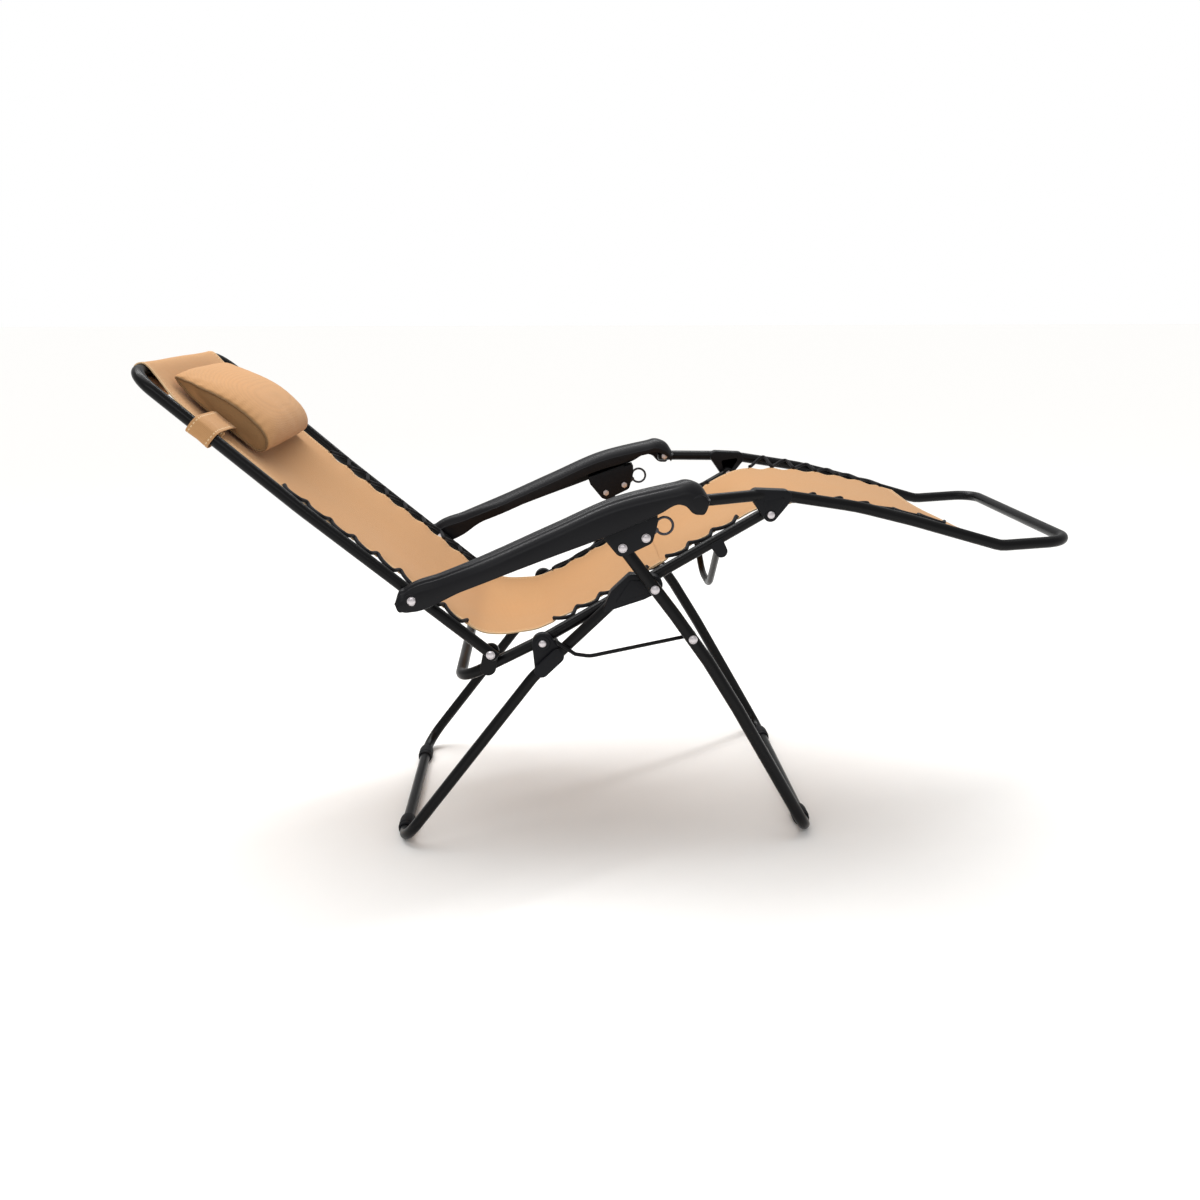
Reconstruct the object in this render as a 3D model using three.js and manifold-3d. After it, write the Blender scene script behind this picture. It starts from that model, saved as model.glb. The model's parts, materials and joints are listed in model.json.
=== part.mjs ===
// A zero gravity recliner: three tube frames (back, seat, footrest) and two armrests form a
// four-bar linkage on crossed folding legs, with a laced sling and a head pillow.
// Millimetres, +Z up, +X towards the feet, +Y the sitter's left. The origin is on the floor.
import * as THREE from "three";
import { mergeVertices } from "three/addons/utils/BufferGeometryUtils.js";
import Module from "manifold-3d";

// ---- driving dimensions --------------------------------------------------------------------
const GAP = 0.3; // between pieces that touch
const SIDES = 10; // facets round a frame tube

// Tube diameters.
const SEAT_TUBE = 22;
const REAR_TUBE = 22;
const FRONT_TUBE = 24;
const BACK_TUBE = 22;
const FOOT_TUBE = 22;
const BRACE_ROD = 14;
const SPREADER_ROD = 7.6;
const CORD = 3.6;

// Half of the seat's width, to the middle of its rails. The other frames stack outwards from it.
const SEAT_HALF = 232;
const LUG_PLATE = 4; // plate that carries the back's pivot
const HEAD_WALL = 0.9; // casting left on either side of a tube that it holds
const ROD_PLAY = 1.4; // beside the spreader rod
const seatSide = SEAT_HALF + SEAT_TUBE / 2;
const rearInner = seatSide + 2 * GAP + HEAD_WALL;
const REAR_HALF = rearInner + REAR_TUBE / 2;
const rearSide = REAR_HALF + REAR_TUBE / 2;
const castingSide = rearSide + HEAD_WALL + GAP;
const rodHalf = castingSide + ROD_PLAY + SPREADER_ROD / 2;
const FRONT_HALF = rodHalf + SPREADER_ROD / 2 + ROD_PLAY + FRONT_TUBE / 2;
const BACK_HALF = seatSide + LUG_PLATE + 3 * GAP + BACK_TUBE / 2;
const backSide = BACK_HALF + BACK_TUBE / 2;
const FOOT_HALF = REAR_HALF;

// Pivots, side view [x, z].
const LEG_CROSS = [42, 530];
const SEAT_PIVOT = [-169, 418];
const BACK_PIVOT = [-267, 402];
const KNEE_PIVOT = [263, 661];
const ARM_REAR = [-402, 522];
const ARM_FRONT = [120, 695];
const LOCK_PIVOT = [-18, 612];
const LEVER_PIVOT = [25, 630];
const SPREADER_PIVOT = [114, 431];

// Legs.
const FLOOR_BAR = 13; // height of the floor bars' middle
const REAR_FOOT = [-455, FLOOR_BAR];
const REAR_BEND = [-188, 351];
const REAR_TOP = [20, 545];
const FRONT_FOOT = [353, FLOOR_BAR];
const FRONT_BEND = [148, 384];
const FRONT_CROSS_RADIUS = 200;
const FRONT_BEND_RADIUS = 1850;
const LEG_CORNER = 52; // bend radius at the floor
const FOOT_PAD = 46; // length of a foot
const FOOT_WALL = 4;

// Back, seat and footrest frames.
const BACK_MID = [-595, 686];
const BACK_TOP = [-862, 930];
const FRAME_CORNER = 48;
const SEAT_REAR = [-330, 341];
const FOOT_ARCH = [
  [432, 671],
  [539, 643],
];
const FOOT_BEND = [721, 589];
const FOOT_END = [862, 596];
const KNEE_RISE = 37; // footrest rail above the knee pivot

// Armrests.
const ARM_WIDTH = 66;
const ARM_WALL = 6;
const ARM_ROOF = 11;
const ARM_LOBE = 22;
const ARM_TAIL = 19;
const ARM_REAR_WIDTH = 38;

// Soft parts.
const CLOTH = 3;
const BACK_CLOTH_HALF = 224;
const SEAT_CLOTH_HALF = 203;
const FOOT_CLOTH_HALF = 214;
const LACE_PITCH = 52;
const LACE_CLEAR = 3.5; // cord to rail
const PILLOW_HALF = 172;
const PILLOW_BASE = 214;
const PILLOW_HEIGHT = 80;
const STRAP_WIDTH = 46;
const STRAP_AT = 92; // strap's middle above the pillow's lower edge
const STRAP_CLOTH = 2.4;

// Bolts.
const BOLT = 8;
const BOLT_HEAD = 14;
const BOLT_HEAD_HIGH = 4;

const wasm = await Module();
wasm.setup();

// ---- materials -----------------------------------------------------------------------------
const material = (color, roughness, metalness) =>
  new THREE.MeshStandardMaterial({ color, roughness, metalness });
const powderCoat = material(0x17171a, 0.42, 0.15);
const blackPlastic = material(0x2b2a2e, 0.5, 0);
const zinc = material(0xcfc8cc, 0.3, 1);
const cloth = material(0xd6a878, 0.9, 0);
const bungee = material(0x161618, 0.8, 0);
const steelWire = material(0x3a3a3e, 0.35, 0.9);

// ---- helpers -------------------------------------------------------------------------------
const chair = new THREE.Group();

function place(name, geometry, finish, side = 1) {
  const mesh = new THREE.Mesh(geometry, finish);
  mesh.name = name;
  mesh.scale.y = side; // -1 makes the mirrored piece for the right-hand side
  chair.add(mesh);
}

function solid(geometry) {
  const bare = geometry.clone();
  bare.deleteAttribute("normal");
  bare.deleteAttribute("uv");
  const merged = mergeVertices(bare, 1e-3);
  return new wasm.Manifold(
    new wasm.Mesh({
      numProp: 3,
      vertProperties: merged.attributes.position.array,
      triVerts: new Uint32Array(merged.index.array),
    }),
  );
}

function geometryOf(made) {
  const mesh = made.getMesh();
  const count = mesh.numProp;
  const points = new Float32Array(mesh.numVert * 3);
  for (let i = 0; i < mesh.numVert; i++)
    points.set(mesh.vertProperties.subarray(i * count, i * count + 3), i * 3);
  const geometry = new THREE.BufferGeometry();
  geometry.setAttribute("position", new THREE.BufferAttribute(points, 3));
  geometry.setIndex(new THREE.BufferAttribute(new Uint32Array(mesh.triVerts), 1));
  geometry.computeVertexNormals();
  return geometry;
}

const join = (...parts) => geometryOf(parts.map(solid).reduce((a, b) => a.add(b)));
const cut = (body, ...tools) =>
  geometryOf(tools.reduce((left, tool) => left.subtract(solid(tool)), solid(body)));

// A path that is stepped from station to station, so straight runs take one step.
class StationPath extends THREE.Curve {
  constructor(stations) {
    super();
    this.stations = stations;
  }
  getPointAt(u) {
    const last = this.stations.length - 1;
    return this.stations[Math.round(u * last)].clone();
  }
  getTangentAt(u) {
    const last = this.stations.length - 1;
    const i = Math.round(u * last);
    const here = this.stations[i];
    const out = new THREE.Vector3();
    if (i < last) out.add(this.stations[i + 1].clone().sub(here).normalize());
    if (i > 0) out.add(here.clone().sub(this.stations[i - 1]).normalize());
    return out.normalize();
  }
}

// Corners of a polyline turned into round bends.
function bend(points, radii, steps = 5) {
  const out = [points[0].clone()];
  for (let i = 1; i < points.length - 1; i++) {
    const before = points[i - 1].clone().sub(points[i]).normalize();
    const after = points[i + 1].clone().sub(points[i]).normalize();
    const half = before.angleTo(after) / 2;
    const radius = Array.isArray(radii) ? radii[i - 1] : radii;
    const back = radius / Math.tan(half);
    const start = points[i].clone().addScaledVector(before, back);
    const centre = before.clone().add(after).normalize()
      .multiplyScalar(radius / Math.sin(half)).add(points[i]);
    const axis = new THREE.Vector3().crossVectors(before, after).normalize().negate();
    const arm = start.sub(centre);
    const turn = Math.PI - 2 * half;
    const count = Math.max(1, Math.ceil((steps * turn) / (Math.PI / 2)));
    for (let k = 0; k <= count; k++)
      out.push(arm.clone().applyAxisAngle(axis, (turn * k) / count).add(centre));
  }
  out.push(points.at(-1).clone());
  return out;
}

const circle = (r) => new THREE.Shape().absarc(0, 0, r, 0, 2 * Math.PI);
const at = ([x, z], y) => new THREE.Vector3(x, y, z);

function sweep(stations, diameter, sides = SIDES) {
  return new THREE.ExtrudeGeometry(circle(diameter / 2), {
    extrudePath: new StationPath(stations),
    steps: stations.length - 1,
    curveSegments: sides / 2,
  });
}

// A U of tube: up one side, across at the last point and back down the other.
function frameStations(sidePoints, bends, corner, steps) {
  const left = sidePoints.map(([x, z, y]) => new THREE.Vector3(x, y, z));
  const right = left.map((p) => new THREE.Vector3(p.x, -p.y, p.z)).reverse();
  return bend([...left, ...right], [...bends, corner, corner, ...[...bends].reverse()], steps);
}

// A cylinder along Y from y0 to y1.
function pin([x, z], y0, y1, diameter, sides = 12) {
  return new THREE.CylinderGeometry(diameter / 2, diameter / 2, y1 - y0, sides)
    .translate(0, (y0 + y1) / 2, 0)
    .translate(x, 0, z);
}

// A side-view outline given thickness along Y from y0 to y1.
function plate(shape, y0, y1, segments = 6) {
  return new THREE.ExtrudeGeometry(shape, {
    depth: y1 - y0,
    bevelEnabled: false,
    curveSegments: segments,
  })
    .rotateX(Math.PI / 2)
    .translate(0, y1, 0);
}

// A headed bolt along Y: its head outside y1, its nut inside y0.
function bolt(centre, y0, y1) {
  return join(
    pin(centre, y0 - BOLT_HEAD_HIGH, y1 + BOLT_HEAD_HIGH, BOLT, 8),
    pin(centre, y1 + GAP, y1 + GAP + BOLT_HEAD_HIGH, BOLT_HEAD, 10),
    pin(centre, y0 - GAP - BOLT_HEAD_HIGH, y0 - GAP, BOLT_HEAD, 6),
  );
}
// A rivet along Y with one head, outside y1.
function rivet(centre, y0, y1) {
  return join(
    pin(centre, y0, y1 + BOLT_HEAD_HIGH, BOLT, 8),
    pin(centre, y1 + GAP, y1 + GAP + BOLT_HEAD_HIGH, BOLT_HEAD, 10),
  );
}
const boltHole = (centre, y0, y1) => pin(centre, y0 - 2, y1 + 2, BOLT + 2 * GAP, 10);

// The outline that encloses two discs and the tangents between them.
function link(a, ra, b, rb) {
  const way = Math.atan2(b[1] - a[1], b[0] - a[0]);
  const lean = Math.acos((ra - rb) / Math.hypot(b[0] - a[0], b[1] - a[1]));
  return new THREE.Shape()
    .absarc(b[0], b[1], rb, way - lean, way + lean)
    .absarc(a[0], a[1], ra, way + lean, way - lean + 2 * Math.PI)
    .closePath();
}

const sub2 = (a, b) => [a[0] - b[0], a[1] - b[1]];
function unit(a, b) {
  const [x, z] = sub2(b, a);
  const length = Math.hypot(x, z);
  return [x / length, z / length];
}
// A point along the line a to b, then square to it (left of the direction of travel).
function offset(a, b, along, across) {
  const [x, z] = unit(a, b);
  return [a[0] + x * along - z * across, a[1] + z * along + x * across];
}

const bothSides = [["left", 1], ["right", -1]];
function pair(name, geometry, finish) {
  for (const [side, sign] of bothSides) place(name + "_" + side, geometry, finish, sign);
}

// ---- rear legs -----------------------------------------------------------------------------
const rearPath = (y) => [REAR_TOP, REAR_BEND, REAR_FOOT].map(([x, z]) => [x, z, y]);
const rearStations = frameStations(rearPath(REAR_HALF), [120], LEG_CORNER, 4);
const headInner = rearInner - HEAD_WALL - GAP;

place(
  "rear_leg_frame",
  cut(
    sweep(rearStations, REAR_TUBE),
    ...[1, -1].map((s) => {
      const hole = boltHole(LEG_CROSS, REAR_HALF - 20, REAR_HALF + 20);
      return s > 0 ? hole : hole.translate(0, -2 * REAR_HALF, 0);
    }),
  ),
  powderCoat,
);

function rearSocket() {
  return sweep(rearStations, REAR_TUBE + 2 * GAP);
}

function legHead() {
  const leaf = new THREE.Shape()
    .moveTo(-64, 468)
    .quadraticCurveTo(-8, 478, 46, 512)
    .absarc(LEG_CROSS[0], LEG_CROSS[1], 19, -1.3, 1.2)
    .quadraticCurveTo(14, 566, -8, 552)
    .quadraticCurveTo(-44, 520, -64, 468);
  return cut(
    plate(leaf, headInner, castingSide, 4),
    rearSocket(),
    boltHole(LEG_CROSS, headInner, castingSide),
  );
}
pair("rear_leg_head", legHead(), blackPlastic);

// The seat's pivot bracket: a saddle on the leg, and a boss thin enough for the rods' hooks to pass.
const BRACKET_BOSS = 20;
const BRACKET_SADDLE = 14;
const BRACKET_FOOT = [14, 60]; // from the leg's bend to either end of the saddle
const bossSide = castingSide - 8.2;
function seatBracket() {
  const [low, high] = BRACKET_FOOT.map((along) => offset(REAR_BEND, REAR_TOP, along, 0));
  const body = join(
    plate(link(SEAT_PIVOT, BRACKET_BOSS, low, BRACKET_SADDLE), headInner, bossSide),
    plate(link(SEAT_PIVOT, BRACKET_BOSS, high, BRACKET_SADDLE), headInner, bossSide),
    plate(link(low, BRACKET_SADDLE, high, BRACKET_SADDLE), headInner, castingSide),
  );
  return cut(body, rearSocket(), boltHole(SEAT_PIVOT, headInner, bossSide));
}
pair("seat_bracket", seatBracket(), blackPlastic);

// A foot: a sleeve round the floor bar with a flat underside.
function footPad([x, z], tube, half) {
  const outer = tube / 2 + FOOT_WALL;
  const y1 = half - LEG_CORNER - 4;
  const y0 = y1 - FOOT_PAD;
  const round = new THREE.Shape().absarc(x, z, outer, 0, Math.PI);
  round.lineTo(x - outer, 0);
  round.lineTo(x + outer, 0);
  round.closePath();
  return cut(
    plate(round, y0, y1, 6),
    pin([x, z], y0 - 5, y1 + 5, tube + 2 * GAP, 16),
  );
}
pair("rear_foot", footPad(REAR_FOOT, REAR_TUBE, REAR_HALF), blackPlastic);

// ---- front legs ----------------------------------------------------------------------------
const frontTop = offset(LEG_CROSS, LOCK_PIVOT, Math.hypot(...sub2(LOCK_PIVOT, LEG_CROSS)) + 13, 0);
function frontFrame() {
  const sideways = [frontTop, LEG_CROSS, FRONT_BEND, FRONT_FOOT].map(([x, z]) => [x, z, FRONT_HALF]);
  const holes = [LOCK_PIVOT, LEG_CROSS, SPREADER_PIVOT].flatMap((centre) =>
    [1, -1].map((s) =>
      pin(centre, s * FRONT_HALF - 20, s * FRONT_HALF + 20, BOLT + 2 * GAP, 10),
    ),
  );
  return cut(sweep(frameStations(sideways, [FRONT_CROSS_RADIUS, FRONT_BEND_RADIUS], LEG_CORNER, 4), FRONT_TUBE), ...holes);
}
place("front_leg_frame", frontFrame(), powderCoat);
pair("front_foot", footPad(FRONT_FOOT, FRONT_TUBE, FRONT_HALF), blackPlastic);
pair("leg_pivot_bolt", rivet(LEG_CROSS, headInner + 1, FRONT_HALF + FRONT_TUBE / 2), zinc);
pair(
  "spreader_bolt",
  bolt(SPREADER_PIVOT, rodHalf - SPREADER_ROD / 2, FRONT_HALF + FRONT_TUBE / 2),
  zinc,
);

// ---- spreader rods: eye on the front leg, hook behind the rear leg --------------------------
const HOOK_CLEAR = 9; // rod to rear tube
const hookAlong = 84;
const hookAcross = REAR_TUBE / 2 + SPREADER_ROD / 2 + HOOK_CLEAR;
const hook = offset(REAR_BEND, REAR_TOP, hookAlong, hookAcross);
const HOOK_IN = 11.5; // length of the hook's short end
const EYE = 19; // outside the eye
const EYE_HALF = 3.3; // half its thickness, pressed a little flatter than the rod
function spreader() {
  const under = offset(REAR_BEND, REAR_TOP, hookAlong + 8, -REAR_TUBE / 2 - 8);
  const low = [-80, 395];
  const path = bend(
    [
      at([SPREADER_PIVOT[0] - 8, SPREADER_PIVOT[1] - 1.4], rodHalf),
      at(low, rodHalf),
      at(under, rodHalf),
      at(hook, rodHalf),
      at(hook, rodHalf - HOOK_IN),
    ],
    [60, 20, 7],
    4,
  );
  return cut(
    join(
      sweep(path, SPREADER_ROD, 8),
      pin(SPREADER_PIVOT, rodHalf - EYE_HALF, rodHalf + EYE_HALF, EYE, 14),
    ),
    boltHole(SPREADER_PIVOT, rodHalf - SPREADER_ROD, rodHalf + SPREADER_ROD),
  );
}
pair("spreader_rod", spreader(), powderCoat);

// ---- seat frame ----------------------------------------------------------------------------
const seatPath = (y) => [KNEE_PIVOT, SEAT_PIVOT, SEAT_REAR].map(([x, z]) => [x, z, y]);
function seatFrame() {
  const rails = sweep(frameStations(seatPath(SEAT_HALF), [150], FRAME_CORNER, 4), SEAT_TUBE);
  const lugFoot = offset(SEAT_REAR, SEAT_PIVOT, 62, 0);
  const parts = [rails];
  for (const s of [1, -1]) {
    const lug = plate(
      link(BACK_PIVOT, 15, lugFoot, 15),
      seatSide - 4,
      seatSide + LUG_PLATE,
    );
    const end = pin(KNEE_PIVOT, SEAT_HALF - SEAT_TUBE / 2, seatSide, SEAT_TUBE + 3, 16);
    if (s < 0) {
      lug.translate(0, -2 * seatSide + 4 - LUG_PLATE, 0);
      end.translate(0, -2 * SEAT_HALF, 0);
    }
    parts.push(lug, end);
  }
  const holes = [SEAT_PIVOT, KNEE_PIVOT, BACK_PIVOT].flatMap((centre) =>
    [1, -1].map((s) => pin(centre, s * SEAT_HALF - 20, s * SEAT_HALF + 20, BOLT + 2 * GAP, 10)),
  );
  return cut(join(...parts), ...holes);
}
place("seat_frame", seatFrame(), powderCoat);
pair("seat_pivot_bolt", bolt(SEAT_PIVOT, SEAT_HALF - SEAT_TUBE / 2, bossSide), zinc);
pair("back_pivot_bolt", bolt(BACK_PIVOT, seatSide - 4, backSide), zinc);

// The bowed brace under the seat, and the clamps that hold it to the rails.
const BRACE_DIP = 116;
const BRACE_AT = 382; // along the rail from the seat pivot
const BRACE_STUB = 3; // rod past the middle of the rail
const CLAMP_HALF = 15;
const BRACE_DROP = SEAT_TUBE / 2 + BRACE_ROD / 2 + 3;
const braceEnd = offset(SEAT_PIVOT, KNEE_PIVOT, BRACE_AT, -BRACE_DROP);
function brace() {
  const end = at(braceEnd, SEAT_HALF + BRACE_STUB);
  const shoulder = at(braceEnd, SEAT_HALF - BRACE_STUB - 24);
  const dip = at([braceEnd[0] + 6, braceEnd[1] - BRACE_DIP], 52);
  const mirrored = [dip, shoulder, end].map((p) => new THREE.Vector3(p.x, -p.y, p.z));
  return sweep(bend([end, shoulder, dip, ...mirrored], [26, 90, 90, 26], 6), BRACE_ROD, 8);
}
place("seat_brace", brace(), powderCoat);
const shiftUp = ([x, z], up) => [x, z + up];
function braceClamp() {
  const rail = offset(SEAT_PIVOT, KNEE_PIVOT, BRACE_AT, 0);
  const block = plate(link(rail, 16, braceEnd, 12), SEAT_HALF - CLAMP_HALF, SEAT_HALF + CLAMP_HALF);
  const railHole = sweep(
    [0, 80].map((d) => at(offset(SEAT_PIVOT, KNEE_PIVOT, BRACE_AT - 40 + d, 0), SEAT_HALF)),
    SEAT_TUBE + 4 * GAP,
    16,
  );
  const rodHole = pin(braceEnd, SEAT_HALF - 30, SEAT_HALF + BRACE_STUB + 1, BRACE_ROD + 4 * GAP, 16);
  const above = plate(link(shiftUp(rail, 16), 18, shiftUp(rail, 19), 18), 0, 2 * SEAT_HALF);
  return cut(block, railHole, rodHole, above);
}
pair("brace_clamp", braceClamp(), blackPlastic);

// ---- back frame ----------------------------------------------------------------------------
const backPath = (y) => [BACK_PIVOT, BACK_MID, BACK_TOP].map(([x, z]) => [x, z, y]);
function backFrame() {
  const start = offset(BACK_PIVOT, BACK_MID, -12, 0);
  const path = [[...start, BACK_HALF], ...backPath(BACK_HALF).slice(1)];
  const holes = [BACK_PIVOT, ARM_REAR].flatMap((centre) =>
    [1, -1].map((s) => pin(centre, s * BACK_HALF - 20, s * BACK_HALF + 20, BOLT + 2 * GAP, 10)),
  );
  return cut(sweep(frameStations(path, [900], FRAME_CORNER, 8), BACK_TUBE), ...holes);
}
place("back_frame", backFrame(), powderCoat);

// ---- footrest frame ------------------------------------------------------------------------
const kneeTop = [KNEE_PIVOT[0] - 4, KNEE_PIVOT[1] + KNEE_RISE];
const footPath = (y) => [
  [...offset(ARM_FRONT, kneeTop, -12, 0), FRONT_HALF],
  [...offset(ARM_FRONT, kneeTop, 24, 0), FRONT_HALF],
  [...kneeTop, y],
  ...[[kneeTop[0] + 42, kneeTop[1] - 5], ...FOOT_ARCH, FOOT_BEND, FOOT_END].map(([x, z]) => [x, z, y]),
];
const footStations = frameStations(footPath(FOOT_HALF), [40, 60, 60, 500, 500, 60], FRAME_CORNER, 5);
place(
  "footrest_frame",
  cut(
    sweep(footStations, FOOT_TUBE),
    ...[1, -1].map((s) =>
      pin(ARM_FRONT, s * FRONT_HALF - 20, s * FRONT_HALF + 20, BOLT + 2 * GAP, 10),
    ),
  ),
  powderCoat,
);
pair("footrest_arm_bolt", bolt(ARM_FRONT, FRONT_HALF - FOOT_TUBE / 2, FRONT_HALF + FOOT_TUBE / 2), zinc);
const kneeInner = seatSide + 2 * GAP;
const kneeOuter = FOOT_HALF + FOOT_TUBE / 2 + 3;
function kneeJoint() {
  const fore = [kneeTop[0] + 30, kneeTop[1] - 5];
  const aft = [kneeTop[0] - 22, kneeTop[1] - 1];
  const body = join(
    plate(link(KNEE_PIVOT, 14, kneeTop, 15), kneeInner, kneeOuter),
    plate(link(aft, 13, fore, 14), kneeInner, kneeOuter),
    plate(link(KNEE_PIVOT, 14, fore, 13), kneeInner, kneeOuter),
  );
  return cut(body, sweep(footStations, FOOT_TUBE + 2 * GAP), boltHole(KNEE_PIVOT, kneeInner, kneeOuter));
}
pair("knee_joint", kneeJoint(), blackPlastic);
pair("knee_bolt", bolt(KNEE_PIVOT, SEAT_HALF - SEAT_TUBE / 2, kneeOuter), zinc);

// ---- armrests ------------------------------------------------------------------------------
const armInner = FRONT_HALF - FRONT_TUBE / 2 - LUG_PLATE - ARM_WALL - 6;
const armOuter = armInner + ARM_WIDTH;
const armRearInner = backSide + 2 * GAP;
const RAIL_SLOPE = Math.atan2(18, 47); // the lock's way along the armrest
const onRail = (along, across) => [
  LOCK_PIVOT[0] + along * Math.cos(RAIL_SLOPE) - across * Math.sin(RAIL_SLOPE),
  LOCK_PIVOT[1] + along * Math.sin(RAIL_SLOPE) + across * Math.cos(RAIL_SLOPE),
];
const CHANNEL_ROOF = [[-120, 78], [0, 82], [60, 76], [128, 64]]; // [along, above] the rail
function armOutline() {
  const [rx, rz] = ARM_REAR;
  const [fx, fz] = ARM_FRONT;
  const shape = new THREE.Shape().moveTo(rx + 8, rz - 12);
  shape.splineThru([
    new THREE.Vector2(rx + 92, rz + 22),
    new THREE.Vector2(rx + 239, rz + 75),
    new THREE.Vector2(rx + 350, rz + 114),
    new THREE.Vector2(fx - 72, fz - 17),
    new THREE.Vector2(fx - 24, fz + 2),
  ]);
  shape.absarc(fx, fz, ARM_LOBE, 2.9, 2 * Math.PI + 0.5);
  shape.splineThru([
    new THREE.Vector2(fx + 6, fz + 35),
    new THREE.Vector2(fx - 47, fz + 34),
    new THREE.Vector2(fx - 151, fz + 14),
    new THREE.Vector2(rx + 260, rz + 140),
    new THREE.Vector2(rx + 129, rz + 83),
    new THREE.Vector2(rx + 54, rz + 52),
    new THREE.Vector2(rx - 4, rz + 24),
  ]);
  shape.absarc(rx, rz, ARM_TAIL, 1.9, 4.9);
  return shape;
}
function armrest() {
  const whole = plate(armOutline(), armRearInner, armOuter, 3);
  const tailTrim = plate(
    new THREE.Shape([
      [-500, 400], [-330, 400], [-280, 900], [-500, 900],
    ].map(([x, z]) => new THREE.Vector2(x, z))),
    armRearInner + ARM_REAR_WIDTH,
    armOuter + 5,
  );
  const channel = plate(
    new THREE.Shape([
      onRail(-168, -90), onRail(-168, 60), ...CHANNEL_ROOF.map((p) => onRail(...p)),
      onRail(165, 52), onRail(200, 40), onRail(200, -90),
    ].map(([x, z]) => new THREE.Vector2(x, z))),
    armRearInner - 5,
    armOuter - ARM_WALL,
  );
  return cut(whole, tailTrim, channel, boltHole(ARM_REAR, armRearInner, armRearInner + ARM_REAR_WIDTH));
}
pair("armrest", armrest(), blackPlastic);
pair("arm_rear_bolt", bolt(ARM_REAR, BACK_HALF - BACK_TUBE / 2, armRearInner + ARM_REAR_WIDTH), zinc);

// The serrated strip that the lock bites on, under the roof of the armrest's channel.
const STRIP_DEEP = 7;
const STRIP_HALF = 7;
function lockRail() {
  const [aft, fore] = CHANNEL_ROOF;
  const corners = [
    onRail(aft[0] + 2, aft[1] - GAP),
    onRail(fore[0] - 2, fore[1] - GAP),
    onRail(fore[0] - 2, fore[1] - STRIP_DEEP),
    onRail(aft[0] + 2, aft[1] - STRIP_DEEP),
  ];
  const strip = new THREE.Shape(corners.map(([x, z]) => new THREE.Vector2(x, z)));
  return plate(strip, FRONT_HALF - STRIP_HALF, FRONT_HALF + STRIP_HALF);
}
pair("lock_rail", lockRail(), steelWire);

// ---- locks on the front legs, under the armrests -------------------------------------------
const LOCK_CHEEK = 4.8;
const lockInner = FRONT_HALF - FRONT_TUBE / 2 - 1 - LOCK_CHEEK;
const lockOuter = FRONT_HALF + FRONT_TUBE / 2 + 1 + LOCK_CHEEK;
const fromLock = ([x, z]) => new THREE.Vector2(LOCK_PIVOT[0] + x, LOCK_PIVOT[1] + z);
function lockHousing() {
  const shape = new THREE.Shape()
    .moveTo(...fromLock([-41, 37]).toArray())
    .lineTo(...fromLock([-34, 18]).toArray())
    .absarc(LOCK_PIVOT[0], LOCK_PIVOT[1], 16, 3.7, 5.3)
    .absarc(LEVER_PIVOT[0], LEVER_PIVOT[1], 14, 4.9, 6.2)
    .lineTo(...fromLock([66, 44]).toArray())
    .lineTo(...fromLock([64, 66]).toArray())
    .closePath();
  const pocket = new THREE.Shape(
    [[-60, 23], [44, 43], [44, 90], [90, 90], [90, -60], [-60, -60]].map(fromLock),
  );
  return cut(
    plate(shape, lockInner, lockOuter, 4),
    plate(pocket, lockInner + LOCK_CHEEK, lockOuter - LOCK_CHEEK),
    boltHole(LOCK_PIVOT, lockInner, lockOuter),
    boltHole(LEVER_PIVOT, lockInner, lockOuter),
  );
}
pair("lock_housing", lockHousing(), blackPlastic);
pair("lock_leg_bolt", bolt(LOCK_PIVOT, lockInner, lockOuter), zinc);
pair("lever_bolt", bolt(LEVER_PIVOT, lockInner, lockOuter), zinc);

// The hardened pawl that grips the strip.
const pawlShape = new THREE.Shape([[8, 22], [30, 26], [30, 36], [8, 32]].map(fromLock));
pair("lock_pawl", plate(pawlShape, FRONT_HALF - STRIP_HALF, FRONT_HALF + STRIP_HALF), steelWire);

const RING_RADIUS = 16;
const RING_WIRE = 5;
const LEVER_THICK = 6;
const RING_CENTRE = [60, 649];
function lockLever() {
  const ring = new THREE.TorusGeometry(RING_RADIUS, RING_WIRE / 2, 8, 20)
    .rotateX(Math.PI / 2)
    .translate(RING_CENTRE[0], FRONT_HALF, RING_CENTRE[1]);
  const reach = Math.hypot(...sub2(RING_CENTRE, LEVER_PIVOT)) - RING_RADIUS;
  const neck = offset(LEVER_PIVOT, RING_CENTRE, reach, 0);
  const arm = plate(link(LEVER_PIVOT, 9, neck, 4), FRONT_HALF - LEVER_THICK / 2, FRONT_HALF + LEVER_THICK / 2);
  return cut(join(ring, arm), boltHole(LEVER_PIVOT, FRONT_HALF - 6, FRONT_HALF + 6));
}
pair("lock_lever", lockLever(), steelWire);

// ---- sling ---------------------------------------------------------------------------------
const shift = ([x, z], dx, dz) => [x + dx, z + dz];
const spline = (points) => new THREE.SplineCurve(points.map((p) => new THREE.Vector2(...p)));
const backCloth = spline([
  offset(BACK_TOP, BACK_MID, 16, 0),
  BACK_MID,
  shift(BACK_PIVOT, -177, 160),
  shift(BACK_PIVOT, -49, 52),
  shift(BACK_PIVOT, -20, 30),
]);
const seatCloth = spline([
  shift(BACK_PIVOT, 14, 22),
  shift(SEAT_PIVOT, -46, 3),
  shift(SEAT_PIVOT, -14, 10),
  shift(SEAT_PIVOT, 28, 28),
  shift(SEAT_PIVOT, 86, 58),
  shift(KNEE_PIVOT, -66, -29),
  shift(KNEE_PIVOT, -14, -1),
]);
const footCloth = spline([
  shift(KNEE_PIVOT, 12, 7),
  shift(KNEE_PIVOT, 77, 5),
  shift(KNEE_PIVOT, 186, -4),
  shift(KNEE_PIVOT, 294, -25),
  shift(FOOT_BEND, -33, 9),
]);
const CLOTH_STEPS = 12;
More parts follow.
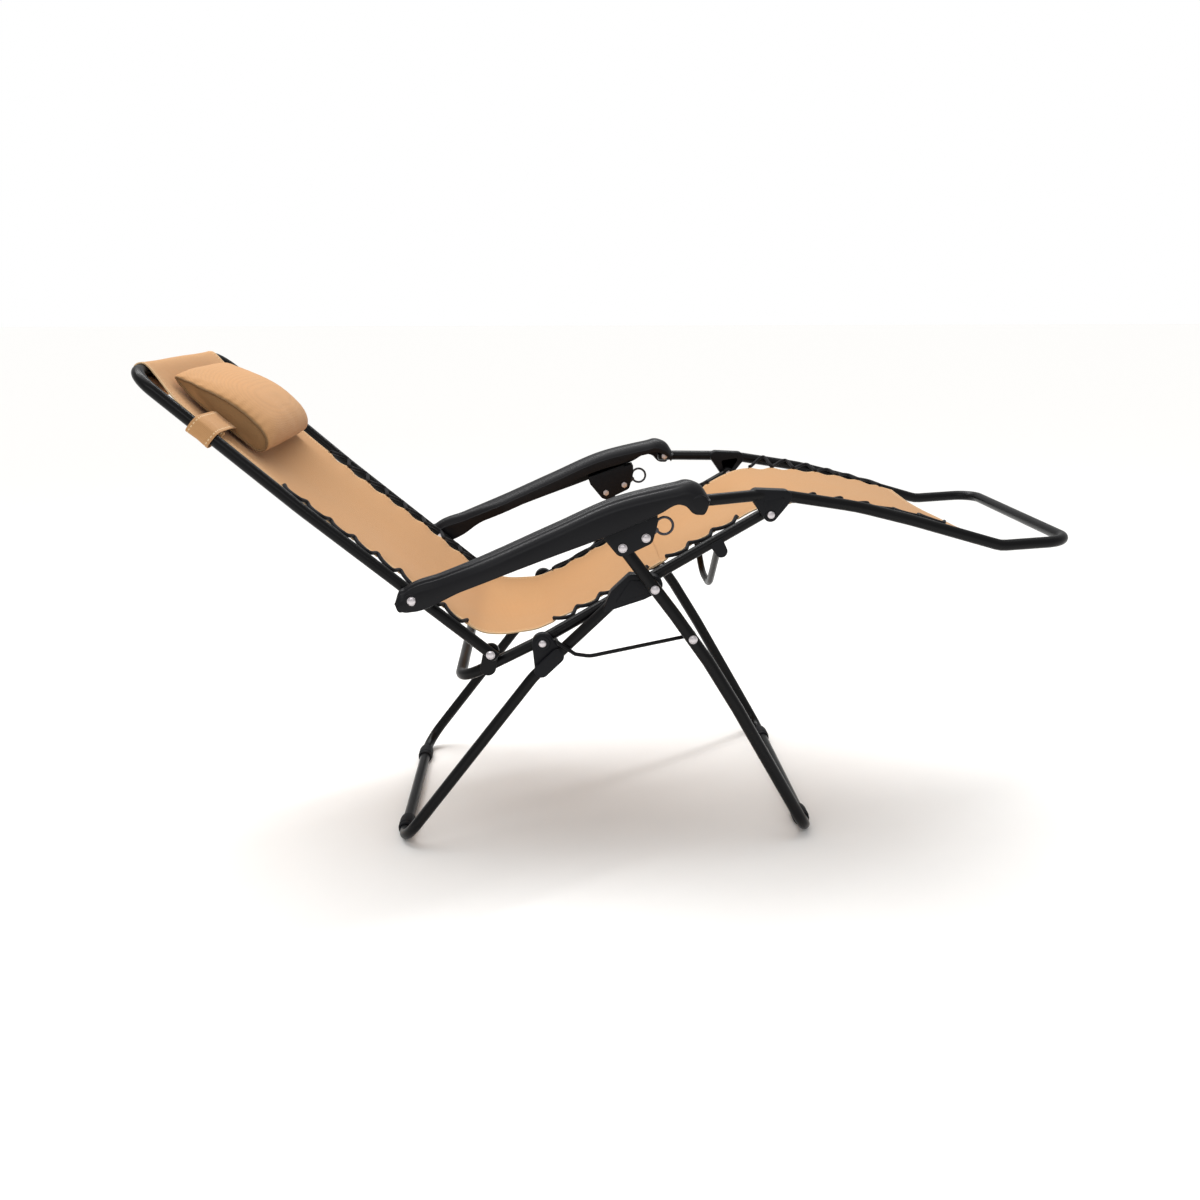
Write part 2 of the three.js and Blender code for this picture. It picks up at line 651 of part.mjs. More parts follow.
function panel(curve, half) {
  const middle = curve.getSpacedPoints(CLOTH_STEPS);
  const edge = (side) =>
    middle.map((p, i) => {
      const way = curve.getTangentAt(i / CLOTH_STEPS);
      return new THREE.Vector2(p.x - way.y * side, p.y + way.x * side);
    });
  return plate(new THREE.Shape([...edge(-CLOTH / 2), ...edge(CLOTH / 2).reverse()]), -half, half);
}
place("back_sling", panel(backCloth, BACK_CLOTH_HALF), cloth);
place("seat_sling", panel(seatCloth, SEAT_CLOTH_HALF), cloth);
place("footrest_sling", panel(footCloth, FOOT_CLOTH_HALF), cloth);

// The bungee runs from the cloth's edge over the rail's inner side and back, once a pitch.
function lacing(curve, clothHalf, [railHalf, tube, railAt], start, end) {
  const reach = tube / 2 + CORD / 2 + LACE_CLEAR;
  const inward = reach * Math.SQRT1_2;
  const length = curve.getLength();
  const count = Math.floor((length * (end - start)) / LACE_PITCH);
  const points = [];
  for (let i = 0; i <= count; i++) {
    const u = start + (i * LACE_PITCH) / length;
    const eye = curve.getPointAt(u);
    points.push(new THREE.Vector3(eye.x, clothHalf + CORD / 2 + GAP, eye.y));
    if (i === count) break;
    const next = curve.getPointAt(u + LACE_PITCH / 2 / length);
    const [x, z] = railAt(next.x);
    points.push(new THREE.Vector3(x + 0.5 * inward, railHalf - inward, z + 0.87 * inward));
  }
  const path = new THREE.CatmullRomCurve3(points);
  return sweep(path.getPoints(2 * (points.length - 1)), CORD, 8);
}
const onLine = (a, b) => (x) => [x, a[1] + ((b[1] - a[1]) * (x - a[0])) / (b[0] - a[0])];
const backRail = onLine(BACK_PIVOT, BACK_MID);
const seatRail = onLine(SEAT_PIVOT, KNEE_PIVOT);
const railStations = [[kneeTop[0] + 42, kneeTop[1] - 5], ...FOOT_ARCH, FOOT_BEND];
function footRail(x) {
  const next = Math.max(1, railStations.findIndex((p) => p[0] > x));
  return onLine(railStations[next - 1], railStations[next])(x);
}
const backLaced = [BACK_HALF, BACK_TUBE, backRail];
const seatLaced = [SEAT_HALF, SEAT_TUBE, seatRail];
const footLaced = [FOOT_HALF, FOOT_TUBE, footRail];
pair("back_lacing", lacing(backCloth, BACK_CLOTH_HALF, backLaced, 0.49, 0.94), bungee);
pair("seat_lacing", lacing(seatCloth, SEAT_CLOTH_HALF, seatLaced, 0.24, 0.93), bungee);
pair("footrest_lacing", lacing(footCloth, FOOT_CLOTH_HALF, footLaced, 0.12, 0.97), bungee);

// ---- head pillow ---------------------------------------------------------------------------
const PILLOW_LOW = 118; // from the middle of the back tube to the pillow's lower edge
const onBack = (along, above) => offset(BACK_MID, BACK_TOP, along, -above);
function pillow() {
  const low = PILLOW_LOW;
  const high = PILLOW_LOW + PILLOW_BASE;
  const under = CLOTH / 2 + 4;
  const shape = new THREE.Shape()
    .moveTo(...onBack(low + 6, under))
    .bezierCurveTo(
      ...onBack(low - 14, PILLOW_HEIGHT * 0.75),
      ...onBack(low + 16, PILLOW_HEIGHT),
      ...onBack(low + 66, PILLOW_HEIGHT * 0.9),
    )
    .bezierCurveTo(
      ...onBack(low + 120, PILLOW_HEIGHT * 0.8),
      ...onBack(high - 40, 34),
      ...onBack(high, under + 6),
    )
    .lineTo(...onBack(high - 6, under))
    .closePath();
  return plate(shape, -PILLOW_HALF, PILLOW_HALF, 8);
}
place("head_pillow", pillow(), cloth);

// A strap from the pillow's end that makes a loop round the back tube.
function strap() {
  const reach = BACK_TUBE / 2 + 4; // loop's inside, from the middle of the tube
  const aside = reach + STRAP_CLOTH;
  const box = (half, round) =>
    [[1, 1], [-1, 1], [-1, -1], [1, -1]].flatMap(([a, b]) => {
      const long = [BACK_HALF + a * (half - round), b * half];
      const tall = [BACK_HALF + a * half, b * (half - round)];
      return a * b > 0 ? [tall, long] : [long, tall];
    });
  const ring = box(aside, 5);
  const outline = new THREE.Shape([
    ...ring.slice(0, 2),
    [PILLOW_HALF + GAP, aside],
    [PILLOW_HALF + GAP, reach],
    [BACK_HALF - aside, reach],
    ...ring.slice(4),
  ].map((p) => new THREE.Vector2(...p)));
  outline.holes.push(new THREE.Path(box(reach, 4).map((p) => new THREE.Vector2(...p))));
  const [dx, dz] = unit(BACK_MID, BACK_TOP);
  const [px, pz] = onBack(PILLOW_LOW + STRAP_AT + STRAP_WIDTH / 2, 0);
  const frame = new THREE.Matrix4().makeBasis(
    new THREE.Vector3(0, 1, 0),
    new THREE.Vector3(dz, 0, -dx),
    new THREE.Vector3(-dx, 0, -dz),
  );
  return new THREE.ExtrudeGeometry(outline, { depth: STRAP_WIDTH, bevelEnabled: false })
    .applyMatrix4(frame)
    .translate(px, 0, pz);
}
pair("pillow_strap", strap(), cloth);

export default chair;
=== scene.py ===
"""Looks of the zero gravity recliner, built round its packed frame.

Lengths in the shape code are millimetres; each mesh is stored in metres.
X runs from the head to the feet, Y to the sitter's left, Z up.
"""

import json
import math

import bpy
import numpy as np
from mathutils import Euler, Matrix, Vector
from mathutils.bvhtree import BVHTree


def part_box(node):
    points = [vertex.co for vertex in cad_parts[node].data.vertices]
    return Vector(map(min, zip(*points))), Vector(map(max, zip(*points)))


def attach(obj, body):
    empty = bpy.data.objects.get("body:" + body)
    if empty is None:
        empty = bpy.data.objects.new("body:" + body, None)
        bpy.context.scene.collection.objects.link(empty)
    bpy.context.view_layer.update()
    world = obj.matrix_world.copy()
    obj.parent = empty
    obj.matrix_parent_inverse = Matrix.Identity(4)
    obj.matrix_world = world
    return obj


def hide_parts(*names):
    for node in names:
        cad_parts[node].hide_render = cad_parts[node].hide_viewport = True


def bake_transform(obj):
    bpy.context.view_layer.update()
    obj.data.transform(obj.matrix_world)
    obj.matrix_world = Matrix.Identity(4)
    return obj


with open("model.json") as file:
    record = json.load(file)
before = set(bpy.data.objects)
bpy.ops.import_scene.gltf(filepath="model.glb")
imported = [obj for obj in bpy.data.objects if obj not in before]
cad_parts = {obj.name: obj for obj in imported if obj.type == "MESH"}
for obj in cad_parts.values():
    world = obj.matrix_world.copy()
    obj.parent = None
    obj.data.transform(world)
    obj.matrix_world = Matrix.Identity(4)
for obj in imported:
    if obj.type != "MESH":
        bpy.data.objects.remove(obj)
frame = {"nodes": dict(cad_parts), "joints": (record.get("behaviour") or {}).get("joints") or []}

bl_info = {
    "name": "Zero Gravity Recliner",
    "version": (1, 0, 0),
    "blender": (4, 5, 0),
    "location": "3D View > Sidebar > Recliner",
    "description": "Builds the tubes, castings, armrests, laced sling and pillow of a recliner",
    "category": "Add Mesh",
}

MM = 0.001
SIDES = {"left": 1, "right": -1}
TURN = 2 * math.pi


# ---- places taken from the packed frame ------------------------------------------------------
def joint_place(name):
    """A hinge's place in the side view, (x, z) in millimetres."""
    found = next(j for j in frame["joints"] if j["name"] == name)
    return np.array([found["pos_m"][0], found["pos_m"][2]]) / MM


def box_mm(node):
    """A node's lowest and highest corner in millimetres."""
    low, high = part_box(node)
    return np.array(low) / MM, np.array(high) / MM


LEG_CROSS = joint_place("leg_fold")
LOCK_PIVOT = joint_place("lock_pivot")
SPREADER_PIVOT = joint_place("spreader_pivot")
SEAT_PIVOT = joint_place("seat_tilt")
BACK_PIVOT = joint_place("recline")
KNEE_PIVOT = joint_place("footrest_tilt")
ARM_REAR = joint_place("arm_pivot")
LEVER_PIVOT = joint_place("lever_left")
ARM_FRONT = np.mean(box_mm("footrest_arm_bolt_left"), axis=0)[[0, 2]]

# Routes of the tubes in the side view, millimetres.
REAR_TOP, REAR_BEND, REAR_FOOT = (20, 545), (-188, 351), (-455, 13)
FRONT_BEND, FRONT_FOOT = (148, 384), (353, 13)
BACK_MID, BACK_TOP = np.array([-595.0, 686.0]), np.array([-862.0, 930.0])
SEAT_REAR = (-330, 341)
FOOT_ARCH, FOOT_BEND, FOOT_END = [(432, 671), (539, 643)], (721, 589), (862, 596)
KNEE_TOP = KNEE_PIVOT + (-4, 37)
RING_CENTRE, RING_RADIUS = (60, 649), 16
BRACE_AT = 382  # from the seat's pivot, along the rail
TUBE, FRONT_TUBE, BRACE_ROD, SPREADER_ROD = 22, 24, 14, 7.6


def depths(name):
    """How near to and how far from the middle plane a left-hand node reaches."""
    low, high = box_mm(name + "_left")
    return low[1], high[1]


def half_width(node, diameter):
    """From the middle plane to the middle of a U frame's side tubes."""
    return box_mm(node)[1][1] - diameter / 2


REAR_HALF = half_width("rear_leg_frame", TUBE)
FRONT_HALF = half_width("front_leg_frame", FRONT_TUBE)
BACK_HALF = half_width("back_frame", TUBE)
SEAT_HALF = 232.0
FOOT_HALF = REAR_HALF


# ---- small geometry --------------------------------------------------------------------------
def unit(v):
    """Vectors scaled to length one along the last axis."""
    return v / np.linalg.norm(v, axis=-1, keepdims=True)


def off_line(a, b, along, across):
    """From a towards b by along, then square to the line by across, to the left of travel."""
    d = unit(np.subtract(b, a).astype(float))
    return np.asarray(a, float) + d * along + np.array([-d[1], d[0]]) * across


def three(points, y):
    """Side-view points (x, z) set at depth y."""
    p = np.asarray(points, float)
    return np.stack([p[..., 0], np.broadcast_to(y, p.shape[:-1]), p[..., 1]], -1)


def rounded_path(points, radii, steps=14):
    """Each corner becomes an arc tangent to both legs: centre + r (e cos t + d sin t), with e
    from the arc's centre to its start and d the way of travel there."""
    points = np.asarray(points, float)
    out = [points[:1]]
    for before, here, after, radius in zip(points, points[1:], points[2:], radii):
        a, b = unit(before - here), unit(after - here)
        half = math.acos(float(np.clip(a @ b, -1, 1))) / 2
        centre = here + unit(a + b) * radius / math.sin(half)
        start = here + a * radius / math.tan(half)
        turn = math.pi - 2 * half
        count = max(3, round(steps * turn / (math.pi / 2)))
        t = np.linspace(0, turn, count)[:, None]
        out.append(centre + radius * (unit(start - centre) * np.cos(t) - a * np.sin(t)))
    out.append(points[-1:])
    return np.concatenate(out)


def u_path(side, radii, corner):
    """A U of tube: up the left side, across, and down the right side as its mirror image."""
    side = np.asarray(side, float)
    other = (side * (1, -1, 1))[::-1]
    return rounded_path(
        np.concatenate([side, other]), [*radii, corner, corner, *radii[::-1]]
    )


def cubic(xs, values, x):
    """A cubic through the given points, with the slope at each from its neighbours."""
    slope = np.gradient(values, xs, axis=0)
    k = np.clip(np.searchsorted(xs, x, side="right") - 1, 0, len(xs) - 2)
    span = xs[k + 1] - xs[k]
    f = (x - xs[k]) / span
    if values.ndim > 1:
        span, f = span[:, None], f[:, None]
    return (
        (2 * f**3 - 3 * f**2 + 1) * values[k]
        + (f**3 - 2 * f**2 + f) * span * slope[k]
        + (3 * f**2 - 2 * f**3) * values[k + 1]
        + (f**3 - f**2) * span * slope[k + 1]
    )


def lengths_along(points):
    """The length along a path at each of its points."""
    return np.concatenate([[0], np.cumsum(np.linalg.norm(np.diff(points, axis=0), axis=1))])


def between(at, run, values):
    """Each column of the values read off at lengths along a line."""
    return np.stack([np.interp(at, run, values[:, i]) for i in range(values.shape[1])], -1)


def smooth_line(points, step=None, count=None):
    """A cubic through every point, resampled to equal steps along its length. Points that
    coincide with the one before are left out."""
    p = np.asarray(points, float)
    p = p[np.concatenate([[True], np.linalg.norm(np.diff(p, axis=0), axis=1) > 0.01])]
    chord = lengths_along(p)
    line = cubic(chord, p, np.linspace(0, chord[-1], 40 * len(p)))
    run = lengths_along(line)
    at = np.linspace(0, run[-1], count or max(2, round(run[-1] / step) + 1))
    return between(at, run, line), at


def ease(x, low, high):
    """0 below low, 1 above high, and an S curve between."""
    t = np.clip((np.asarray(x, float) - low) / (high - low), 0, 1)
    return t * t * (3 - 2 * t)


# ---- shells ----------------------------------------------------------------------------------
def shell(grid, around=True, caps=True, uv=None, outward=True):
    """Quads between neighbouring points of a grid of rows and columns. The last column joins
    the first, and the end rows are capped. Faces are reversed where the volume they enclose
    comes out negative. uv holds (along, across, distance to the edge) for each grid point,
    with one more column than a closed grid has."""
    rows, cols = grid.shape[:2]
    index = np.arange(rows * cols).reshape(rows, cols)
    j = np.arange(cols if around else cols - 1)
    k = (j + 1) % cols
    quads = np.stack(
        [index[:-1][:, j], index[:-1][:, k], index[1:][:, k], index[1:][:, j]], -1
    ).reshape(-1, 4)
    loops = None
    if uv is not None:
        loops = np.stack(
            [uv[:-1][:, j], uv[:-1][:, j + 1], uv[1:][:, j + 1], uv[1:][:, j]], -2
        ).reshape(-1, 4, 3)
    flat = grid.reshape(-1, 3)
    ends = [index[0][::-1], index[-1]] if around and caps else []
    if outward:
        middle = flat.mean(0)
        a, b, c, d = (flat[quads[:, i]] - middle for i in range(4))
        volume = (a * np.cross(b, c)).sum() + (a * np.cross(c, d)).sum()
        for end in ends:
            p = flat[end] - middle
            volume += (p[:1] * np.cross(p[1:-1], p[2:])).sum()
        if volume < 0:
            quads, ends = quads[:, ::-1], [e[::-1] for e in ends]
            loops = None if loops is None else loops[:, ::-1]
    return {"points": flat, "quads": quads, "ends": ends, "loops": loops}


def piece(name, shells, material, body=None, replaces=(), sharp=38):
    """One object from its shells, in metres, riding on a body and standing for CAD nodes."""
    start, points, faces, loops = 0, [], [], []
    for s in shells:
        points.append(s["points"])
        faces += (s["quads"] + start).tolist() + [(e + start).tolist() for e in s["ends"]]
        if s["loops"] is not None:
            loops.append(s["loops"].reshape(-1, 3))
            loops.append(np.zeros((sum(len(e) for e in s["ends"]), 3)))
        start += len(s["points"])
    mesh = bpy.data.meshes.new(name)
    mesh.from_pydata((np.concatenate(points) * MM).tolist(), [], faces)
    if loops:
        uv = np.concatenate(loops) * MM
        for layer, pick in (("weave", [0, 1]), ("edge", [0, 2])):
            made = mesh.uv_layers.new(name=layer)
            made.data.foreach_set("uv", uv[:, pick].astype(np.float32).ravel())
    mesh.polygons.foreach_set("use_smooth", np.ones(len(mesh.polygons), bool))
    mesh.set_sharp_from_angle(angle=math.radians(sharp))
    mesh.update()
    made = bpy.data.objects.new(name, mesh)
    bpy.context.scene.collection.objects.link(made)
    made.data.materials.append(material)
    if body:
        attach(made, body)
    if replaces:
        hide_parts(*replaces)
    return made


def tube(path, diameter, hint=(0.3, 0.05, 1.0), sides=28, uv=False):
    """A circle carried along a path. Each ring is square to the path, and its zero angle is
    square to the hint. Three shrinking rings round off either end."""
    path = np.asarray(path, float)
    keep = np.concatenate([[True], np.linalg.norm(np.diff(path, axis=0), axis=1) > 1e-4])
    path = path[keep]
    steps = unit(np.diff(path, axis=0))
    way = unit(np.concatenate([steps[:1], steps[:-1] + steps[1:], steps[-1:]]))
    r = diameter / 2
    dome = np.array([[1.0, 0.97], [0.55, 0.86], [0.0, 0.62]]) * (min(2.5, r * 0.4), r)
    first = [path[0] - way[0] * (dome[0, 0] - d) for d, _ in dome[::-1]]
    last = [path[-1] + way[-1] * (dome[0, 0] - d) for d, _ in dome]
    path = np.concatenate([first, path[1:-1], last])
    way = np.concatenate([way[:1]] * 3 + [way[1:-1]] + [way[-1:]] * 3)
    radius = np.concatenate([dome[::-1, 1], np.full(len(path) - 6, r), dome[:, 1]])
    side = unit(np.cross(way, np.asarray(hint, float)))
    up = np.cross(side, way)
    turn = np.linspace(0, TURN, sides, endpoint=False)[None, :, None]
    grid = path[:, None] + radius[:, None, None] * (
        side[:, None] * np.cos(turn) + up[:, None] * np.sin(turn)
    )
    if not uv:
        return shell(grid)
    run = lengths_along(path)
    arc = np.linspace(0, math.pi * diameter, sides + 1)
    along, across = np.meshgrid(run, arc, indexing="ij")
    return shell(grid, uv=np.stack([along, across, across], -1))


def hull_plate(circles, y0, y1, edge=2.0, count=96, steps=4, shape=None):
    """The outline round a set of circles, carried from y0 to y1. In direction d the outline is
    the circle point c + r d that lies furthest along d; near both faces the radius shrinks by
    a quarter circle. shape may move the outline's points, as to flatten a side."""
    circles = np.asarray(circles, float)
    t = np.linspace(0, TURN, count, endpoint=False)
    d = np.stack([np.cos(t), np.sin(t)], -1)
    best = np.argmax(circles[:, :2] @ d.T + circles[:, 2:3], axis=0)
    phi = np.linspace(0, math.pi / 2, steps)
    drawn_in = edge * (1 - np.sin(phi))
    depth = edge * (1 - np.cos(phi))
    rows = np.concatenate([drawn_in, drawn_in[::-1]])
    y = np.concatenate([y0 + depth, y1 - depth[::-1]])
    flat = circles[best, :2] + (circles[best, 2] - rows[:, None])[..., None] * d
    if shape is not None:
        flat = shape(flat)
    return shell(three(flat, y[:, None]))


def turned(centre, profile, side=1, sides=28, hexagon=None):
    """A profile of (y, radius) turned about the cross axis through centre. Rows named by
    hexagon take a six-sided outline: radius / cos(angle from the nearest flat)."""
    profile = np.asarray(profile, float)
    t = np.linspace(0, TURN, sides, endpoint=False)
    flat = 1 / np.cos((t + math.pi / 6) % (math.pi / 3) - math.pi / 6)
    shape = np.ones((len(profile), sides))
    if hexagon is not None:
        shape[hexagon] = flat * math.cos(math.pi / 6) * 1.1
    r = profile[:, 1:2] * shape
    x, z = centre[0] + r * np.cos(t), centre[1] + r * np.sin(t)
    y = np.broadcast_to(profile[:, :1] * side, x.shape)
    return shell(np.stack([x, y, z], -1))


def ring(centre, y, radius, wire, sides=14, steps=48):
    """A torus in the side view: (R + r cos b)(cos a, sin a), and r sin b across."""
    a = np.linspace(0, TURN, steps, endpoint=False)[:, None]
    b = np.linspace(0, TURN, sides, endpoint=False)[None]
    reach = radius + wire * np.cos(b)
    x, z = centre[0] + reach * np.cos(a), centre[1] + reach * np.sin(a)
    grid = np.stack([x, y + wire * np.sin(b) + 0 * a, z], -1)
    return shell(np.concatenate([grid, grid[:1]]), caps=False)


def mirrored(shells, side):
    """The shells at the sitter's left, or their mirror image for the right."""
    if side > 0:
        return shells
    return [
        {
            **s,
            "points": s["points"] * (1, -1, 1),
            "quads": s["quads"][:, ::-1],
            "ends": [e[::-1] for e in s["ends"]],
            "loops": None if s["loops"] is None else s["loops"][:, ::-1],
        }
        for s in shells
    ]


def pair(name, shells, material, body, stands_for=None):
    """A piece at either side, the right one the left one's mirror image."""
    return [
        piece(
            f"{side}_{name}",
            mirrored(shells, sign),
            material,
            body,
            [f"{n}_{side}" for n in (stands_for or [name])],
        )
        for side, sign in SIDES.items()
    ]


# ---- materials -------------------------------------------------------------------------------
def linear(code, alpha=1.0):
    """An sRGB hex colour in linear light."""
    s = np.array([int(code[i : i + 2], 16) for i in (1, 3, 5)]) / 255
    return (*np.where(s <= 0.04045, s / 12.92, ((s + 0.055) / 1.055) ** 2.4), alpha)


def add_node(tree, kind, values=None, links=None, **settings):
    """A node with its settings, its sockets' values and the links into it."""
    made = tree.nodes.new(kind)
    for key, value in settings.items():
        setattr(made, key, value)
    for socket, value in (values or {}).items():
        made.inputs[socket].default_value = value
    for socket, source in (links or {}).items():
        tree.links.new(source, made.inputs[socket])
    return made


def grain_scale(size_mm):
    """Noise Texture's scale for blobs of about this size."""
    return 0.5 / (size_mm * MM)


def new_material(name, **constants):
    """A material with a Principled shader whose unlinked sockets hold the constants."""
    made = bpy.data.materials.new(name)
    made.use_nodes = True
    tree = made.node_tree
    tree.nodes.clear()
    values = {key.replace("_", " "): value for key, value in constants.items()}
    shader = add_node(tree, "ShaderNodeBsdfPrincipled", values)
    add_node(tree, "ShaderNodeOutputMaterial", links={0: shader.outputs[0]})
    return made, tree, shader


def mixed(tree, factor, low, high):
    """A colour that goes from low to high with the factor, each a value or a socket."""
    values, links = {}, {}
    for socket, given in ((0, factor), (6, low), (7, high)):
        (links if isinstance(given, bpy.types.NodeSocket) else values)[socket] = given
    return add_node(tree, "ShaderNodeMix", values, links, data_type="RGBA").outputs[2]


def spread(tree, value, low, high, to_low, to_high):
    """A value carried from one range to another, held at its ends."""
    values = {1: low, 2: high, 3: to_low, 4: to_high}
    return add_node(tree, "ShaderNodeMapRange", values, {0: value}).outputs[0]


def math_of(tree, a, b, operation="MULTIPLY"):
    """Two sockets put together by an operation."""
    return add_node(tree, "ShaderNodeMath", links={0: a, 1: b}, operation=operation).outputs[0]


def noise(tree, vector, size_mm, detail=2.0, rough=0.5):
    """Noise with blobs of about this size."""
    values = {"Scale": grain_scale(size_mm), "Detail": detail, "Roughness": rough}
    return add_node(tree, "ShaderNodeTexNoise", values, {"Vector": vector}).outputs[0]


def bands(tree, vector, period_mm, axis="X", uneven=None):
    """Bands of one period across an axis: the node's sine turns 20 times its scale."""
    values = {"Scale": TURN / 20 / (period_mm * MM), **(uneven or {})}
    made = add_node(
        tree, "ShaderNodeTexWave", values, {"Vector": vector}, bands_direction=axis
    )
    return made.outputs[0]


def turned_by(tree, vector, angles):
    """A texture place turned by Euler angles."""
    made = add_node(tree, "ShaderNodeMapping", links={"Vector": vector})
    made.inputs["Rotation"].default_value = Euler(angles)
    return made.outputs[0]


def object_place(tree):
    """The place on the object that a texture reads."""
    return add_node(tree, "ShaderNodeTexCoord").outputs["Object"]


def uv_place(tree, layer):
    """The place in a UV map that a texture reads."""
    return add_node(tree, "ShaderNodeUVMap", uv_map=layer).outputs[0]


def toned(colour, share, lift=0.0):
    """A colour made lighter or darker."""
    return (*(min(1.0, c * share + lift) for c in colour[:3]), 1.0)


def dressed(tree, shader, base, rough, relief=None, depth_mm=0.0, strength=1.0):
    """Links the base colour, the roughness and a relief of that depth into the shader."""
    tree.links.new(base, shader.inputs["Base Color"])
    tree.links.new(rough, shader.inputs["Roughness"])
    if relief is not None:
        values = {"Strength": strength, "Distance": depth_mm * MM}
        bump = add_node(tree, "ShaderNodeBump", values, {"Height": relief})
        tree.links.new(bump.outputs[0], shader.inputs["Normal"])


def powder_coated_steel(colours):
    """Black polyester powder, sprayed and baked on tube: a satin skin with a faint orange
    peel, so a light draws one soft line along each tube."""
    made, tree, shader = new_material("powder_coated_steel", Specular_IOR_Level=0.16)
    place = object_place(tree)
    peel = noise(tree, place, 1.6)  # real peel is 0.6 to 1 mm; drawn larger so that it shows
    cloudy = noise(tree, place, 45, 3.0)
    base = mixed(tree, cloudy, tuple(colours.tube), toned(colours.tube, 1.6))
    dressed(tree, shader, base, spread(tree, cloudy, 0.3, 0.7, 0.26, 0.38), peel, 0.05, 0.5)
    return made


def moulded_nylon(name, colour, rough, grit_mm):
    """Glass-filled nylon from a spark-eroded mould: fine even grit, dull sheen, and slightly
    shinier patches where the mould was polished or hands rub it."""
    made, tree, shader = new_material(name, Specular_IOR_Level=0.16)
    place = object_place(tree)
    grit = add_node(
        tree,
        "ShaderNodeTexVoronoi",
        {"Scale": grain_scale(grit_mm)},
        {"Vector": place},
        feature="SMOOTH_F1",
    ).outputs[0]
    worn = noise(tree, place, 60, 4.0, 0.6)
    base = mixed(tree, worn, tuple(colour), toned(colour, 1.5, 0.002))
    dull = spread(tree, worn, 0.3, 0.7, rough - 0.05, rough + 0.07)
    dressed(tree, shader, base, dull, grit, 0.06, 0.6)
    return made


def plated_steel(name, colour, rough):
    """Zinc-plated or blackened steel: a metal's clear reflection, broken by fine tumbling
    marks and small dull spots."""
    made, tree, shader = new_material(name, Metallic=1.0)
    marks = noise(tree, object_place(tree), 1.2, 4.0)
    base = mixed(tree, marks, toned(colour, 0.72), tuple(colour))
    dull = spread(tree, marks, 0.3, 0.7, rough, rough + 0.16)
    dressed(tree, shader, base, dull, marks, 0.03, 0.3)
    return made


THREAD_MM = 2.4  # the real polyester threads are 1 mm apart; drawn wider so that they show
YARN = {"Distortion": 0.35, "Detail": 1.0, "Detail Scale": 1.5}  # how uneven they are
STITCH_MM, STITCH_ROW, STITCH_HALF = 7.0, 0.0125, 0.0011  # pitch; metres from the edge
# Painted shade: where the darkening of the pillow's end panels begins and where it is full.
END_SHADE_SPAN = (0.1655, 0.1685)  # metres from the middle to where the pillow's end panels start


def woven_polyester(name, colour, hem=None, turn=None, ends=None):
    """Tan polyester mesh, plain-woven from coated yarn: dry and matt, warp and weft just
    visible, paler where the hem's fold catches the light, with a stitch row beside it. A
    sheet reads its own UV map; the stuffed pillow, which has none, reads its place in space,
    turned to lie along the back."""
    made, tree, shader = new_material(
        name, Sheen_Weight=0.1, Sheen_Roughness=0.5, Specular_IOR_Level=0.15
    )
    if turn is None:
        vector, axes = uv_place(tree, "weave"), "XY"
    else:
        place = object_place(tree)
        vector, axes = turned_by(tree, place, (0, turn, 0)), "XYZ"
    threads = bands(tree, vector, THREAD_MM, axes[0], YARN)
    for axis in axes[1:]:
        threads = math_of(tree, threads, bands(tree, vector, THREAD_MM, axis, YARN), "ADD")
    faded = noise(tree, vector, 70, 3.0)
    slub = noise(tree, vector, 4)
    colour = tuple(colour)
    deep = toned(colour, 0.80)
    warm = (min(1, colour[0] * 1.05), colour[1] * 0.96, colour[2] * 0.86, 1.0)
    cool = (colour[0] * 0.95, colour[1] * 0.99, min(1, colour[2] * 1.06), 1.0)
    mask = spread(tree, threads, 0.2, 1.3, 0.0, 1.0)
    base = mixed(tree, mask, deep, mixed(tree, faded, warm, cool))
    base = mixed(tree, 0.12, base, mixed(tree, slub, deep, colour))
    height = threads
    if hem is not None:
        edge = uv_place(tree, "edge")
        inward = add_node(tree, "ShaderNodeSeparateXYZ", links={0: edge}).outputs[1]
        # Painted highlight: the hem's fold is tinted paler with the hem colour, where it catches the
        # light.
        fold = spread(tree, inward, 0.001, 0.006, 0.85, 0.0)
        values = {1: STITCH_ROW, 2: STITCH_HALF}
        row = add_node(tree, "ShaderNodeMath", values, {0: inward}, operation="COMPARE")
        row = row.outputs[0]
        dashes = spread(tree, bands(tree, edge, STITCH_MM), 0.35, 0.5, 0.0, 1.0)
        stitch = math_of(tree, row, dashes)
        base = mixed(tree, math_of(tree, fold, stitch, "MAXIMUM"), base, tuple(hem))
        sunk = math_of(tree, height, math_of(tree, row, stitch, "SUBTRACT"), "SUBTRACT")
        height = math_of(tree, sunk, stitch, "ADD")
    # Painted shade: the pillow's end panels are tinted darker, standing for the shade that they face
    # into.
    if ends is not None:
        across = add_node(tree, "ShaderNodeSeparateXYZ", links={0: place}).outputs[1]
        far = add_node(tree, "ShaderNodeMath", links={0: across}, operation="ABSOLUTE")
        panel = spread(tree, far.outputs[0], *END_SHADE_SPAN, 0.0, 0.85)
        base = mixed(tree, panel, base, tuple(ends))
    dressed(tree, shader, base, spread(tree, slub, 0.3, 0.7, 0.78, 0.92), height, 0.22, 0.5)
    return made


def braided_bungee(colours):
    """Rubber strands under a braided nylon jacket: a matt black cord with a fine diagonal
    plait, from two crossing sets of bands round it."""
    made, tree, shader = new_material(
        "braided_bungee", Sheen_Weight=0.05, Specular_IOR_Level=0.12
    )
    vector = uv_place(tree, "weave")
    slants = [turned_by(tree, vector, (0, 0, a)) for a in (math.pi / 5, -math.pi / 5)]
    plait = math_of(tree, *(bands(tree, slant, 2.2) for slant in slants), "MAXIMUM")
    base = mixed(tree, plait, tuple(colours.bungee), toned(colours.bungee, 2.4))
    dressed(tree, shader, base, spread(tree, plait, 0, 1, 0.85, 0.65), plait, 0.3, 0.6)
    return made


